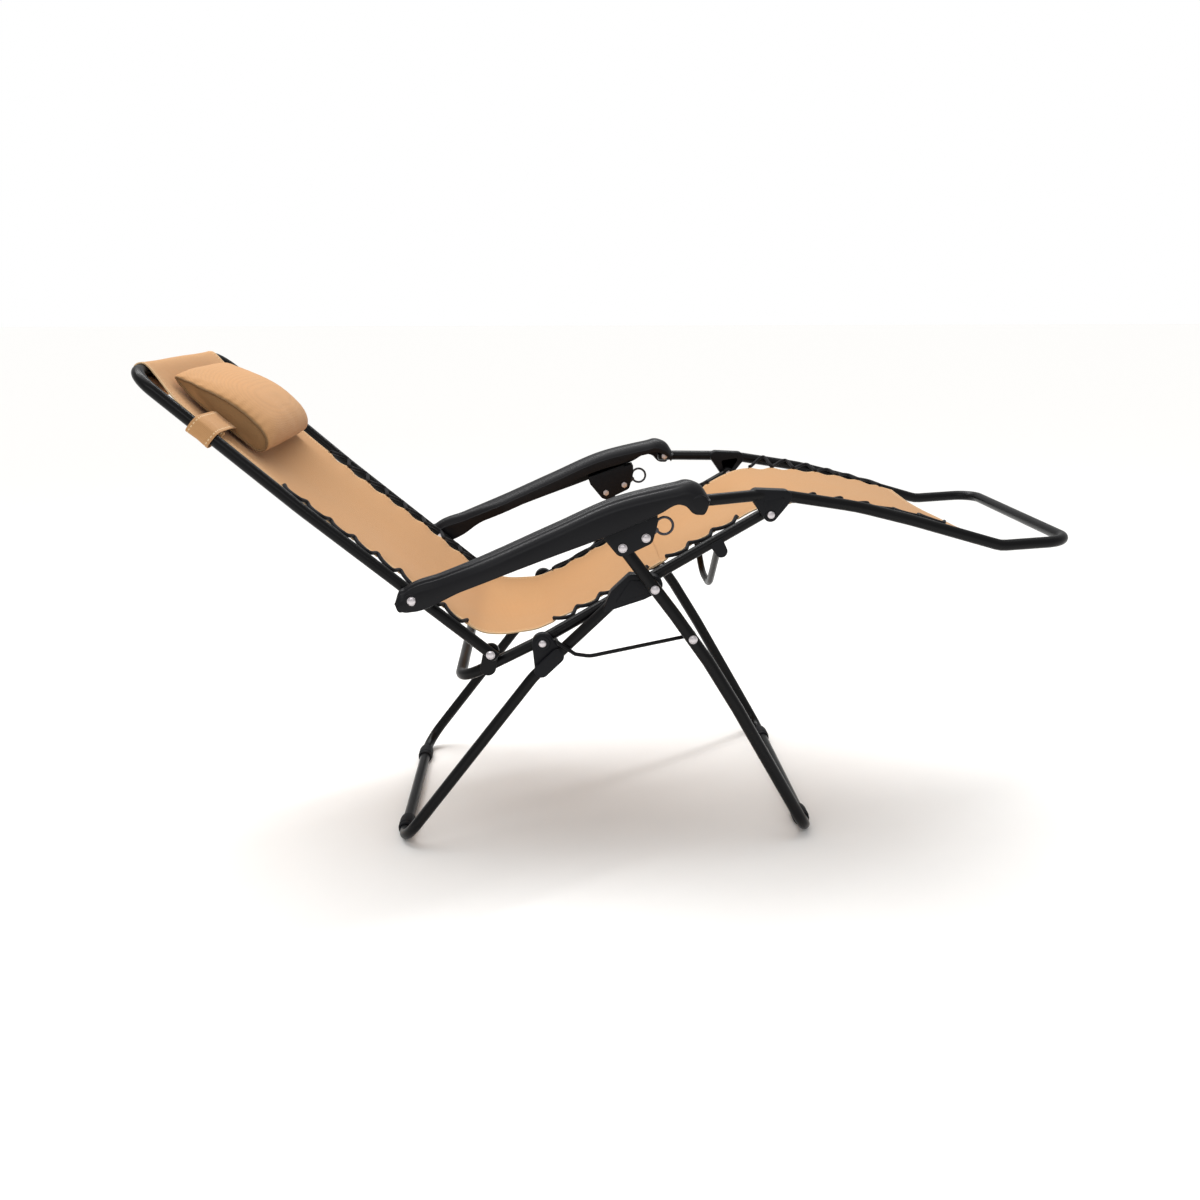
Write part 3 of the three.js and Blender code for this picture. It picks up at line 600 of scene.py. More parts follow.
def pale_floor(colours):
    """Matt painted floor: even, with the faintest roller mottle."""
    made, tree, shader = new_material("pale_matt_floor", Specular_IOR_Level=0.1)
    mottle = noise(tree, object_place(tree), 30)
    base = mixed(tree, mottle, toned(colours.floor, 0.985), tuple(colours.floor))
    dressed(tree, shader, base, spread(tree, mottle, 0.3, 0.7, 0.85, 0.92))
    return made


def finish(name):
    """A finish by name, made the first time that it is asked for."""
    found = bpy.data.materials.get(name)
    if found:
        return found
    colours = bpy.context.scene.recliner_colours
    back_lean = math.atan2(*(BACK_TOP - BACK_MID)[::-1])
    makers = {
        "powder_coated_steel": lambda: powder_coated_steel(colours),
        "armrest_nylon": lambda: moulded_nylon(name, colours.armrest, 0.36, 0.9),
        "bracket_nylon": lambda: moulded_nylon(name, colours.bracket, 0.42, 0.8),
        "foot_nylon": lambda: moulded_nylon(name, colours.bracket, 0.6, 1.2),
        "zinc_plate": lambda: plated_steel(name, colours.bolt, 0.24),
        "dark_steel": lambda: plated_steel(name, colours.wire, 0.22),
        "sling_mesh": lambda: woven_polyester(name, colours.cloth, colours.hem),
        "pillow_mesh": lambda: woven_polyester(
            name, colours.cloth, turn=back_lean, ends=colours.pillow_end_shade
        ),
        "pillow_piping": lambda: woven_polyester(name, colours.piping, turn=back_lean),
        "braided_bungee": lambda: braided_bungee(colours),
        "pale_matt_floor": lambda: pale_floor(colours),
    }
    return makers[name]()


# ---- frames ----------------------------------------------------------------------------------
def rear_leg_path():
    """The rear legs' U, bent once above the floor."""
    return u_path(three([REAR_TOP, REAR_BEND, REAR_FOOT], REAR_HALF), [120], 52)


def front_leg_path():
    """The front legs' U, from the lock to the floor."""
    top = off_line(LOCK_PIVOT, LEG_CROSS, -13, 0)
    side = three([top, LEG_CROSS, FRONT_BEND, FRONT_FOOT], FRONT_HALF)
    return u_path(side, [200, 1850], 52)


def seat_path():
    """The seat's U, from the knee down and round behind the seat."""
    return u_path(three([KNEE_PIVOT, SEAT_PIVOT, SEAT_REAR], SEAT_HALF), [150], 48)


def back_path():
    """The back's U, slightly bowed where it passes the shoulders."""
    start = off_line(BACK_PIVOT, BACK_MID, -12, 0)
    return u_path(three([start, BACK_MID, BACK_TOP], BACK_HALF), [900], 48)


def footrest_path():
    """The footrest's U: arms reach back to the armrests, then it arches down and kicks up."""
    arm = [off_line(ARM_FRONT, KNEE_TOP, -12, 0), off_line(ARM_FRONT, KNEE_TOP, 24, 0)]
    legs = [KNEE_TOP, KNEE_TOP + (42, -5), *FOOT_ARCH, FOOT_BEND, FOOT_END]
    side = np.concatenate([three(arm, FRONT_HALF), three(legs, FOOT_HALF)])
    return u_path(side, [40, 60, 60, 500, 500, 60], 48)


def brace_line():
    """Where the brace under the seat meets a rail, and its bow."""
    return off_line(SEAT_PIVOT, KNEE_PIVOT, BRACE_AT, -(TUBE / 2 + BRACE_ROD / 2 + 3))


def build_frames():
    """Every steel tube, each drawn along its own route."""
    steel = finish("powder_coated_steel")

    def add(name, shells, body):
        piece(name + "_tube", shells, steel, body, [name])

    add("rear_leg_frame", [tube(rear_leg_path(), TUBE)], "rear_legs")
    add("front_leg_frame", [tube(front_leg_path(), FRONT_TUBE)], "front_legs")
    add("back_frame", [tube(back_path(), TUBE)], "back")
    add("footrest_frame", [tube(footrest_path(), TUBE)], "footrest")

    side = SEAT_HALF + TUBE / 2
    lug_foot = off_line(SEAT_REAR, SEAT_PIVOT, 62, 0)
    lug = hull_plate([(*BACK_PIVOT, 15), (*lug_foot, 15)], side - 4, side + 4, 1.2)
    end = turned(
        KNEE_PIVOT,
        [(SEAT_HALF - 11, 10.5), (SEAT_HALF - 10, 12.5), (side - 1, 12.5), (side, 10.5)],
    )
    sides = [s for sign in SIDES.values() for s in mirrored([lug, end], sign)]
    add("seat_frame", [tube(seat_path(), TUBE), *sides], "seat")

    brace = brace_line()
    half = [
        (*brace, SEAT_HALF + 3),
        (*brace, SEAT_HALF - 27),
        (brace[0] + 6, brace[1] - 116, 52),
    ]
    left = np.array(half)[:, [0, 2, 1]]
    route = rounded_path(
        np.concatenate([left, (left * (1, -1, 1))[::-1]]), [26, 90, 90, 26]
    )
    add("seat_brace", [tube(route, BRACE_ROD, (1, 0, 0.2))], "seat")

    inner, outer = depths("spreader_rod")
    rod_half = outer - SPREADER_ROD / 2
    hook = off_line(REAR_BEND, REAR_TOP, 84, 23.8)
    under = off_line(REAR_BEND, REAR_TOP, 92, -19)
    side_points = three([SPREADER_PIVOT + (-6, -1.4), (-80, 395), under, hook], rod_half)
    route = np.concatenate([side_points, three([hook], inner)])
    eye = turned(
        SPREADER_PIVOT,
        [(rod_half - 3.8, 8.6), (rod_half - 2.8, 9.6), (rod_half + 2.8, 9.6), (outer, 8.6)],
    )
    rod = tube(rounded_path(route, [40, 12, 7]), SPREADER_ROD, (0.4, 0.3, 1), 16)
    pair("spreader_rod", [rod, eye], steel, "spreaders")


# ---- castings --------------------------------------------------------------------------------
def raised_boss(centre, radius, y0, y1):
    """A low round boss on both faces of a casting."""
    return turned(
        centre,
        [(y0 - 1.4, radius - 1.2), (y0, radius), (y1, radius), (y1 + 1.4, radius - 1.2)],
    )


def build_castings():
    """The moulded parts on the tubes: heads, brackets, knees, clamps and feet."""
    nylon = finish("bracket_nylon")
    edge = bpy.context.scene.recliner_sizes.casting_edge / MM

    y0, y1 = depths("rear_leg_head")
    leaf = [(-50, 483, 4), (-6, 504, 8), (20, 513, 12), (*LEG_CROSS, 18), (0, 545, 7)]
    leaf.append((-34, 516, 5))
    panel = [(-26, 500, 3), (8, 513, 6), (*LEG_CROSS, 11), (0, 537, 4)]
    shells = [hull_plate(leaf, y0, y1, edge), hull_plate(panel, y0 + 1, y1 + 1.1, edge)]
    pair("rear_leg_head", shells, nylon, "rear_legs")

    y0, y1 = depths("seat_bracket")
    low, high = (off_line(REAR_BEND, REAR_TOP, a, 0) for a in (22, 62))
    boss_side = y1 - 8.2
    shells = [
        hull_plate([(*SEAT_PIVOT, 20), (*low, 13), (*high, 14)], y0, boss_side, edge),
        hull_plate([(*low, 14), (*high, 14)], y0, y1, edge),
        raised_boss(SEAT_PIVOT, 15, y0 + 2, boss_side),
    ]
    pair("seat_bracket", shells, nylon, "rear_legs")

    y0, y1 = depths("knee_joint")
    fore, aft = KNEE_TOP + (30, -5), KNEE_TOP + (-22, -1)
    panel = [(*KNEE_PIVOT, 8), (*(KNEE_TOP + (-4, -14)), 7), (*(fore - (6, 4)), 6)]
    shells = [
        hull_plate([(*KNEE_PIVOT, 14), (*aft, 13), (*fore, 14)], y0, y1, edge + 1),
        hull_plate(panel, y0, y1 + 1, edge),
        raised_boss(KNEE_PIVOT, 11, y0 + 2, y1),
    ]
    pair("knee_joint", shells, nylon, "footrest")

    y0, y1 = depths("brace_clamp")
    rail = off_line(SEAT_PIVOT, KNEE_PIVOT, BRACE_AT, 0)
    way = unit(KNEE_PIVOT - SEAT_PIVOT)
    up = np.array([-way[1], way[0]])

    def saddle(flat):
        """Points above the rail's middle are brought down onto it."""
        above = np.maximum((flat - rail) @ up - 1.0, 0)
        return flat - above[..., None] * up

    shells = [
        hull_plate([(*rail, 14), (*brace_line(), 12)], y0, y1, edge, shape=saddle),
        hull_plate([(*brace_line(), 8.5)], y0 - 1, y1 - 10, edge),
    ]
    pair("brace_clamp", shells, nylon, "seat")

    rubbery = finish("foot_nylon")
    for name, body, at in (
        ("rear_foot", "rear_legs", REAR_FOOT),
        ("front_foot", "front_legs", FRONT_FOOT),
    ):
        low, high = box_mm(name + "_left")
        radius = (high[0] - low[0]) / 2

        def flat_bottom(flat):
            """Points below the floor are brought up to it."""
            return np.stack([flat[..., 0], np.maximum(flat[..., 1], 0)], -1)

        shells = [
            hull_plate([(*at, radius)], low[1], high[1], 3, shape=flat_bottom),
            hull_plate([(*at, radius + 1)], low[1] + 9, high[1] - 9, 1, shape=flat_bottom),
        ]
        pair(name, shells, rubbery, body)


def build_locks():
    """The locks under the armrests, with their pull rings, pawls and strips."""
    nylon, steel = finish("bracket_nylon"), finish("dark_steel")
    y0, y1 = depths("lock_housing")
    cheek = 4.8

    def near(*offsets):
        return [(LOCK_PIVOT[0] + x, LOCK_PIVOT[1] + z, r) for x, z, r in offsets]

    outline = near((0, 0, 16), (-37, 34, 4), (-33, 22, 4), (62, 47, 3), (61, 63, 3))
    outline.append((*LEVER_PIVOT, 14))
    web = near((-36, 34, 4), (40, 49, 3), (40, 61, 3))
    rib = near((-26, 33, 2), (44, 51, 2), (44, 58, 2), (-20, 42, 2))
    shells = [
        hull_plate(outline, y0, y0 + cheek, 1.4),
        hull_plate(outline, y1 - cheek, y1, 1.4),
        hull_plate(web, y0 + 1, y1 - 1, 1.0),
        hull_plate(rib, y1 - 2, y1 + 1, 1),
    ]
    pair("lock_housing", shells, nylon, "locks")

    neck = off_line(RING_CENTRE, LEVER_PIVOT, RING_RADIUS, 0)
    shells = [
        ring(RING_CENTRE, FRONT_HALF, RING_RADIUS, 2.5),
        hull_plate([(*LEVER_PIVOT, 9), (*neck, 4)], FRONT_HALF - 3, FRONT_HALF + 3, 1.2),
    ]
    for side, sign in SIDES.items():
        piece(
            f"pull_ring_{side}",
            mirrored(shells, sign),
            steel,
            f"lever_{side}",
            [f"lock_lever_{side}"],
        )
        for node in (f"lock_pawl_{side}", f"lock_rail_{side}"):
            kept = frame["nodes"][node]
            kept.data.materials.clear()
            kept.data.materials.append(steel)


BOLTS = {
    "seat_pivot_bolt": "rear_legs",
    "leg_pivot_bolt": "front_legs",
    "spreader_bolt": "front_legs",
    "lock_leg_bolt": "locks",
    "lever_bolt": "locks",
    "back_pivot_bolt": "seat",
    "knee_bolt": "seat",
    "arm_rear_bolt": "back",
    "footrest_arm_bolt": "footrest",
}


def build_bolts():
    """Domed bolts: washer, head and shank turned in one profile, with a six-sided nut at the
    inner end."""
    zinc = finish("zinc_plate")
    for name, body in BOLTS.items():
        low, high = box_mm(name + "_left")
        centre = ((low + high) / 2)[[0, 2]]
        inner, outer = low[1], high[1]
        nut = [(inner, 3.0), (inner + 0.3, 6.4), (inner + 4.2, 6.4), (inner + 4.4, 4.0)]
        if name == "leg_pivot_bolt":
            nut = [(inner, 3.4), (inner + 0.6, 4.0), (inner + 1, 4.0), (inner + 1.4, 4.0)]
        seat = outer - 4.0
        a = np.linspace(0, math.pi / 2, 8)
        dome = np.stack([seat + 1.2 + 2.8 * np.sin(a), 7.3 * np.cos(a) + 0.02], -1)
        head = [(seat - 0.3, 4.0), (seat - 0.2, 8.3), (seat + 0.7, 8.3), (seat + 0.9, 7.3)]
        profile = np.concatenate([nut, head, dome])
        shells = [turned(centre, profile, hexagon=[1, 2] if nut[1][1] > 5 else None)]
        pair(name, shells, zinc, body)


# ---- armrests --------------------------------------------------------------------------------
ARM_TOP = [
    (-433, 519), (-429, 532), (-415, 544), (-348, 571), (-273, 601), (-142, 658),
    (-31, 705), (50, 725), (80, 731), (97, 735), (112, 732), (128, 722), (140, 703),
]  # fmt: skip
ARM_UNDER = [
    (-433, 517), (-430, 507), (-419, 501), (-402, 501), (-310, 541), (-163, 597),
    (-52, 637), (48, 678), (86, 694), (98, 689), (106, 680), (120, 675), (133, 681), (140, 701),
]  # fmt: skip


REAR_ARM_WIDTH, INNER_SKIRT = 38, 38


def armrest_shell():
    """An upside-down channel lofted along x. At each station the section runs up the outer
    skirt, over a crowned top z = top - e |v|^2.6, down the short inner skirt, and back under
    the roof. Stations crowd towards both ends, x = middle - half cos(pi t), so that the
    outline closes round them."""
    t = np.linspace(0, 1, 150)
    x0, x1 = ARM_TOP[0][0], ARM_TOP[-1][0]
    x = (x0 + x1) / 2 - (x1 - x0) / 2 * np.cos(math.pi * t)
    top = cubic(*np.transpose(ARM_TOP), x)
    under = np.minimum(cubic(*np.transpose(ARM_UNDER), x), top - 0.4)
    low, high = box_mm("armrest_left")
    wide = ease(x, -405, -255)
    outer = (low[1] + REAR_ARM_WIDTH) * (1 - wide) + high[1] * wide
    inner = low[1] + 0 * x - 6.5 * ease(x, -318, -250)
    height = top - under
    edge = np.minimum(17.0, 0.48 * height)
    v = np.linspace(-1, 1, 49)
    middle, half = (outer + inner) / 2, (outer - inner) / 2
    crown_y = middle[:, None] - (half[:, None] - 1.6) * v
    crown_z = top[:, None] - edge[:, None] * np.abs(v) ** 2.6
    lines = sum(np.exp(-(((v - at) / 0.07) ** 2)) for at in (-0.66, -0.25, 0.16))
    groove = 1.3 * lines * ease(height, 20, 40)[:, None] * (1 - ease(x, 60, 100))[:, None]
    crown_z = crown_z - groove
    hollow = ease(x, -352, -300)
    skirt = under * (1 - hollow) + np.maximum(under, top - INNER_SKIRT + 9 * ease(x, 10, 70)) * hollow
    roof = under * (1 - hollow) + (top - 13) * hollow + 0.2
    roof = np.minimum(np.maximum(roof, skirt + 0.1), top - 0.2 - 0.1 * height)
    wall = 6.0 * np.minimum(1, height / 14)
    side_z = top - edge

    def column(y, z):
        return np.stack([x, y + 0 * x, z + 0 * x], -1)[:, None]

    f = np.linspace(0, 1, 7)[1:-1]
    swell = 1.3 * np.sin(math.pi * f)
    up_side = [
        column(outer - 0.2 + s, under + 2 + (side_z - under - 4) * k) for k, s in zip(f, swell)
    ]
    grid = np.concatenate(
        [
            column(outer - 1.6, under),
            column(outer - 0.3, under + 0.08 * height * np.minimum(1, 12 / height)),
            *up_side,
            column(outer - 0.2, side_z - 2.0 * np.minimum(1, height / 14)),
            column(outer - 1.4, side_z - 0.6),
            np.stack([np.broadcast_to(x[:, None], crown_y.shape), crown_y, crown_z], -1),
            column(inner + 1.2, side_z - 0.6),
            column(inner, side_z - 2.0 * np.minimum(1, height / 14)),
            column(inner, (side_z + skirt) / 2),
            column(inner + 1.0, skirt),
            column(inner + wall - 1.0, skirt),
            column(inner + wall, np.minimum(skirt + 1, roof)),
            column(inner + wall, roof),
            column(outer - wall, roof),
            column(outer - wall, np.minimum(under + 1, roof)),
            column(outer - wall + 1.0, under),
        ],
        axis=1,
    )
    return shell(grid)


def build_armrests():
    """Both armrests, with the round lobe and bolt cap at the front pivot."""
    nylon = finish("armrest_nylon")
    inner, outer = depths("armrest")
    dome = [(-5, 17), (-1, 17), (0.6, 15.5), (1.4, 11), (1.5, 3)]
    cap = turned(ARM_FRONT, [(outer + y, r) for y, r in dome])
    disc = [(-3, 13.5), (0, 13.5), (0.9, 12.2)]
    heel = turned(ARM_REAR, [(inner + REAR_ARM_WIDTH + y, r) for y, r in disc])
    pair("armrest", [armrest_shell(), cap, heel], nylon, "arms", ["armrest"])


# ---- sling -----------------------------------------------------------------------------------
PITCH = 52.0  # between the lacing's eyelets
BACK_ALONG = unit(BACK_TOP - BACK_MID)
BACK_UP = np.array([BACK_ALONG[1], -BACK_ALONG[0]])  # square to the back, towards the sitter
BACK_CLOTH, SEAT_CLOTH, FOOT_CLOTH = 224.0, 203.0, 220.0


def on_back(along, above):
    """A point in the side view, from its place along the back and above its plane."""
    along, above = np.asarray(along, float)[..., None], np.asarray(above, float)[..., None]
    return BACK_MID + BACK_ALONG * along + BACK_UP * above


def back_line():
    """The back and rear seat's cloth in the side view: a sleeve round the top bar, straight
    down the back, then the free sweep under the sitter and up onto the seat."""
    bar = np.linalg.norm(BACK_TOP - BACK_MID)
    a = np.radians(np.linspace(-125, 97, 16))
    sleeve = on_back(bar + 13.2 * np.cos(a), 13.2 * np.sin(a))
    behind = on_back([bar - 58, bar - 34], [-4.5, -8.5])
    front = on_back([bar - 26, bar - 62, bar - 110, bar - 190], [9.5, 3.5, 0.5, 0])
    rest = [
        BACK_MID,
        BACK_PIVOT + (-177, 160),
        BACK_PIVOT + (-49, 52),
        BACK_PIVOT + (-16, 31),
        BACK_PIVOT + (17, 25),
        SEAT_PIVOT + (-44, 10),
        SEAT_PIVOT + (-14, 13),
        SEAT_PIVOT + (28, 29),
        SEAT_PIVOT + (86, 58),
        SEAT_PIVOT + (232, 141),
    ]
    return smooth_line(np.concatenate([behind, sleeve, front, rest]), step=4.0)


def foot_line():
    """The front seat and footrest's cloth: up the seat, over the knees and down the legs."""
    points = [
        SEAT_PIVOT + (214, 129.5),
        KNEE_PIVOT + (-66, -29),
        KNEE_PIVOT + (-14, -1),
        KNEE_PIVOT + (12, 7.5),
        KNEE_PIVOT + (77, 11),
        KNEE_PIVOT + (186, 2),
        KNEE_PIVOT + (294, -19),
        np.array(FOOT_BEND) + (-68, 26),
    ]
    return smooth_line(points, step=4.0)


def foot_half(run, knee):
    """Half the front sheet's width: it widens over the knees."""
    return SEAT_CLOTH + (FOOT_CLOTH - SEAT_CLOTH) * ease(run, knee - 30, knee + 60)


def nearest_run(line, run, point):
    """The length along a line at its nearest point."""
    return run[np.argmin(np.linalg.norm(line - point, axis=1))]


def lace_marks(line, run, start, end):
    """Eyelets a pitch apart from a start point to at most an end point."""
    s0, s1 = nearest_run(line, run, start), nearest_run(line, run, end)
    return s0 + PITCH * np.arange(int((s1 - s0) // PITCH) + 1)


def scallop(run, marks):
    """How far the edge is drawn in between eyelets: depth sin(pi p^0.75), p the share of a
    pitch, and nothing outside the laced stretch."""
    sizes = bpy.context.scene.recliner_sizes
    p = ((run - marks[0]) / PITCH) % 1.0
    inside = (run >= marks[0]) & (run <= marks[-1])
    return np.where(inside, sizes.scallop / MM * np.sin(math.pi * p**0.75), 0.0)


def sheet_grid(line, run, half, laced, sag, end_dip=0.0):
    """The cloth: across each station of its side line a point stands at y = w H - g e^-(d/20)^2,
    with w from -1 to 1, H the half width, g the scallop and d the distance to the edge. The
    middle sags by (1 - w^2)^2, and the cloth puckers at the eyelets."""
    way = unit(np.gradient(line, run, axis=0))
    up = np.stack([-way[:, 1], way[:, 0]], -1)
    near = np.array([0, 2, 4, 7, 10, 13, 16, 20, 25, 32, 42, 56, 74, 98, 126, 156, 186]) / 224
    w = np.concatenate([-(1 - near), (1 - near)[::-1]])
    half = half[:, None]
    d = half * (1 - np.abs(w))
    g = sum(scallop(run, marks) for marks in laced)[:, None]
    y = w * half - np.sign(w) * g * np.exp(-((d / 20) ** 2))
    lace = sum((run >= m[0]) & (run <= m[-1]) for m in laced)[:, None]
    phase = sum(np.where((run >= m[0]) & (run <= m[-1]), run - m[0], 0) for m in laced)
    pucker = 1.3 * np.cos(TURN * phase / PITCH)[:, None] * np.exp(-((d / 34) ** 2)) * lace
    slack = 0.8 * np.sin(run[:, None] / 61 + 3.9 * w) * (1 - w**2)
    above = -sag[:, None] * (1 - w**2) ** 2 + pucker + slack
    shift = -end_dip * (1 - w**2) * ease(run, run[-1] - 70, run[-1])[:, None]
    flat = line[:, None] + up[:, None] * above[..., None] + way[:, None] * shift[..., None]
    return three(flat, y), w, d


def sling_piece(name, line, run, half, laced, sag, hemmed, replaces, end_dip=0.0):
    """One sheet of the sling, its hem doubled, bent between two bodies."""
    grid, w, d = sheet_grid(line, run, half, laced, sag, end_dip)
    along = np.broadcast_to(run[:, None], grid.shape[:2])
    edge = np.minimum(d, np.abs(run - hemmed)[:, None])
    uv = np.stack([along, w * half[:, None], edge], -1)
    made = piece(
        name,
        [shell(grid, around=False, caps=False, uv=uv, outward=False)],
        finish("sling_mesh"),
        replaces=replaces,
    )
    thick = made.vertex_groups.new(name="hem")
    amount = 0.55 + 0.45 * (1 - ease(d, 12, 15))
    for value in np.unique(np.round(amount, 2)):
        where = np.flatnonzero(np.abs(amount.ravel() - value) < 0.006)
        thick.add(where.tolist(), float(value), "REPLACE")
    wall = made.modifiers.new("cloth", "SOLIDIFY")
    wall.thickness = bpy.context.scene.recliner_sizes.cloth_thickness
    wall.offset = 0
    wall.vertex_group = "hem"
    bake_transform(made)
    return made


def back_half(run, line):
    """Half the cloth's width: narrow round the top bar, full down the back, and drawn in to
    the seat's rails."""
    top = nearest_run(line, run, BACK_TOP + BACK_UP * 13)
    s1 = nearest_run(line, run, BACK_PIVOT + (-16, 31))
    s2 = nearest_run(line, run, SEAT_PIVOT + (28, 29))
    wide = 204 + (BACK_CLOTH - 204) * ease(run, top + 8, top + 95)
    return wide + (SEAT_CLOTH - BACK_CLOTH) * ease(run, s1 - 40, s2)


def sling_marks():
    """The eyelets of each laced stretch, with the lines that they lie on."""
    rear, front = back_line(), foot_line()
    foot_end = np.array(FOOT_BEND) + (-74, 27)
    stretches = {
        "back": (*rear, on_back(PITCH, 0), BACK_PIVOT + (-30, 38)),
        "seat": (*rear, SEAT_PIVOT + (26, 28), SEAT_PIVOT + (240, 150)),
        "thigh": (*front, SEAT_PIVOT + (246, 148), KNEE_PIVOT + (-40, -10)),
        "foot": (*front, KNEE_PIVOT + (46, 7), foot_end),
    }
    return {
        key: (line, run, lace_marks(line, run, start, end))
        for key, (line, run, start, end) in stretches.items()
    }


def build_sling():
    """Both sheets: back with rear seat, and front seat with footrest, sewn at mid-seat."""
    sag = bpy.context.scene.recliner_sizes.sag / MM
    marks = sling_marks()
    line, run, back = marks["back"]
    s_top = nearest_run(line, run, BACK_TOP + BACK_UP * 13)
    dip = sag * ease(run, s_top + 10, s_top + 160)
    s_free = nearest_run(line, run, SEAT_PIVOT + (-44, 10))
    dip = dip + 9 * np.exp(-(((run - s_free) / 90) ** 2))
    sling_piece(
        "back_and_seat_sling",
        line,
        run,
        back_half(run, line),
        [back, marks["seat"][2]],
        dip * ease(-run, -run[-1], -run[-1] + 120) + 0.6,
        0.0,
        ("back_sling", "seat_sling"),
    )
    line, run, foot = marks["foot"]
    knee = nearest_run(line, run, KNEE_PIVOT)
    sling_piece(
        "footrest_sling_sheet",
        line,
        run,
        foot_half(run, knee),
        [marks["thigh"][2], foot],
        0.7 * sag * ease(-run, -knee, -knee + 60) * ease(run, 0, 30) + 1.5,
        run[-1],
        ("footrest_sling",),
        end_dip=16.0,
    )


def lace_route(line, run, marks, half, rail, reach):
    """From each eyelet the cord runs out over the cloth's edge to the rail's inner side at
    seven tenths of a pitch, and back to the next eyelet."""
    cord = bpy.context.scene.recliner_sizes.cord / MM
    way = unit(np.gradient(line, run, axis=0))
    up = np.stack([-way[:, 1], way[:, 0]], -1)

    def at(s, values):
        return between(s, run, values)

    eye = at(marks, line) + at(marks, up) * (cord / 2 + 1.6)
    eyes = three(eye, np.interp(marks, run, half) - 5.0)
    edge = at(marks + 4, line) + at(marks + 4, up) * (cord / 2 + 1.3)
    edges = three(edge, np.interp(marks, run, half) + 2.0)
    outs = marks + 0.7 * PITCH
    apart = np.linalg.norm(at(outs, line)[:, None] - rail[None, :, [0, 2]], axis=2)
    closest = rail[np.argmin(apart, axis=1)]
    lift = three(at(outs, up), 0) * math.sin(0.75)
    outs3 = closest + (lift - np.array([0, math.cos(0.75), 0])) * (reach + cord / 2)
    points = np.stack([eyes, edges, outs3], axis=1).reshape(-1, 3)[:-1]
    points = points[:-1] if len(points) % 3 else points
    return smooth_line(points, step=3.0)[0]


def dense(points, step=2.0):
    """A path with points at equal short steps."""
    run = lengths_along(points)
    return between(np.linspace(0, run[-1], int(run[-1] / step)), run, points)


def build_lacing():
    """The bungee along each rail, with a grommet at every eyelet."""
    black = finish("braided_bungee")
    cord = bpy.context.scene.recliner_sizes.cord / MM
    marks = sling_marks()

    def left(path):
        path = dense(path)
        return path[path[:, 1] > 0]

    back, seat, foot = left(back_path()), left(seat_path()), left(footrest_path())
    line, run, _ = marks["back"]
    widths = back_half(run, line)
    foot_run = marks["foot"][1]
    knee = nearest_run(marks["foot"][0], foot_run, KNEE_PIVOT)
    foot_widths = foot_half(foot_run, knee)
    groups = {
        "back_lacing": ("back", [("back", widths, back)]),
        "seat_lacing": ("seat", [("seat", widths, seat), ("thigh", foot_widths, seat)]),
        "footrest_lacing": ("footrest", [("foot", foot_widths, foot)]),
    }
    for name, (body, parts) in groups.items():
        shells = []
        for key, half, rail in parts:
            line, run, spots = marks[key]
            route = lace_route(line, run, spots, half, rail, TUBE / 2)
            shells.append(tube(route, cord, (0.2, 0.1, 1), 12, uv=True))
            shells += grommets(line, run, spots, half)
        pair(name, shells, black, body)


def grommets(line, run, spots, half):
    """A small ring at each eyelet, lying on the cloth: (R + r cos b) round its own axis."""
    way = unit(np.gradient(line, run, axis=0))
    out = []
    for s in spots:
        centre, t = between(s, run, line), between(s, run, way)
        e1, e3 = three(t, 0), three(np.array([-t[1], t[0]]), 0)
        a = np.linspace(0, TURN, 17)[:, None, None]
        b = np.linspace(0, TURN, 6, endpoint=False)[None, :, None]
        middle = three(centre, np.interp(s, run, half) - 7.5) + e3 * 1.5
        spoke = e1 * np.cos(a) + np.array([0, 1, 0]) * np.sin(a)
        grid = middle + (3.4 + 1.1 * np.cos(b)) * spoke + 1.1 * np.sin(b) * e3
        out.append(shell(grid, caps=False, uv=np.zeros((17, 7, 3))))
    return out


# ---- pillow ----------------------------------------------------------------------------------
PILLOW_LOW, STRAP_AT, PILLOW_HALF = 118.0, 88.0, 172.0


def pillow_profile(count=72):
    """The pillow's outline along the back, as (along, above): a fat nose at the low end, a
    crown a third of the way up and a blunt lip that stands off the cloth at the head end."""
    points = np.array(
        [
            (8, 3.5), (0, 10), (-4, 22), (-3, 38), (6, 54), (24, 66), (54, 72), (90, 72),
            (126, 64), (160, 51), (188, 40), (204, 33), (211, 28), (207, 21), (190, 14),
            (168, 8.5), (140, 5), (100, 3), (44, 2.5), (8, 3.5),
        ],
        float,
    )  # fmt: skip
    line, _ = smooth_line(points, count=count + 1)
    return line[:-1]


def pillow_grid():
    """The outline carried across. Towards the ends it is lower, 0.66 + 0.34 (1 - v^4), and
    slightly shorter, as the sewn edge draws the cover in."""
    v = np.linspace(-1, 1, 49)[:, None]
    profile = pillow_profile()
    tall = 0.66 + 0.30 * (1 - v**4) ** 0.8
    along = PILLOW_LOW + 100 + (profile[None, :, 0] - 100) * (0.955 + 0.03 * (1 - v**2))
    above = 3 + (profile[None, :, 1] - 2.5) * tall
    flat = on_back(along, above)
    return three(flat, v * (PILLOW_HALF - 3))


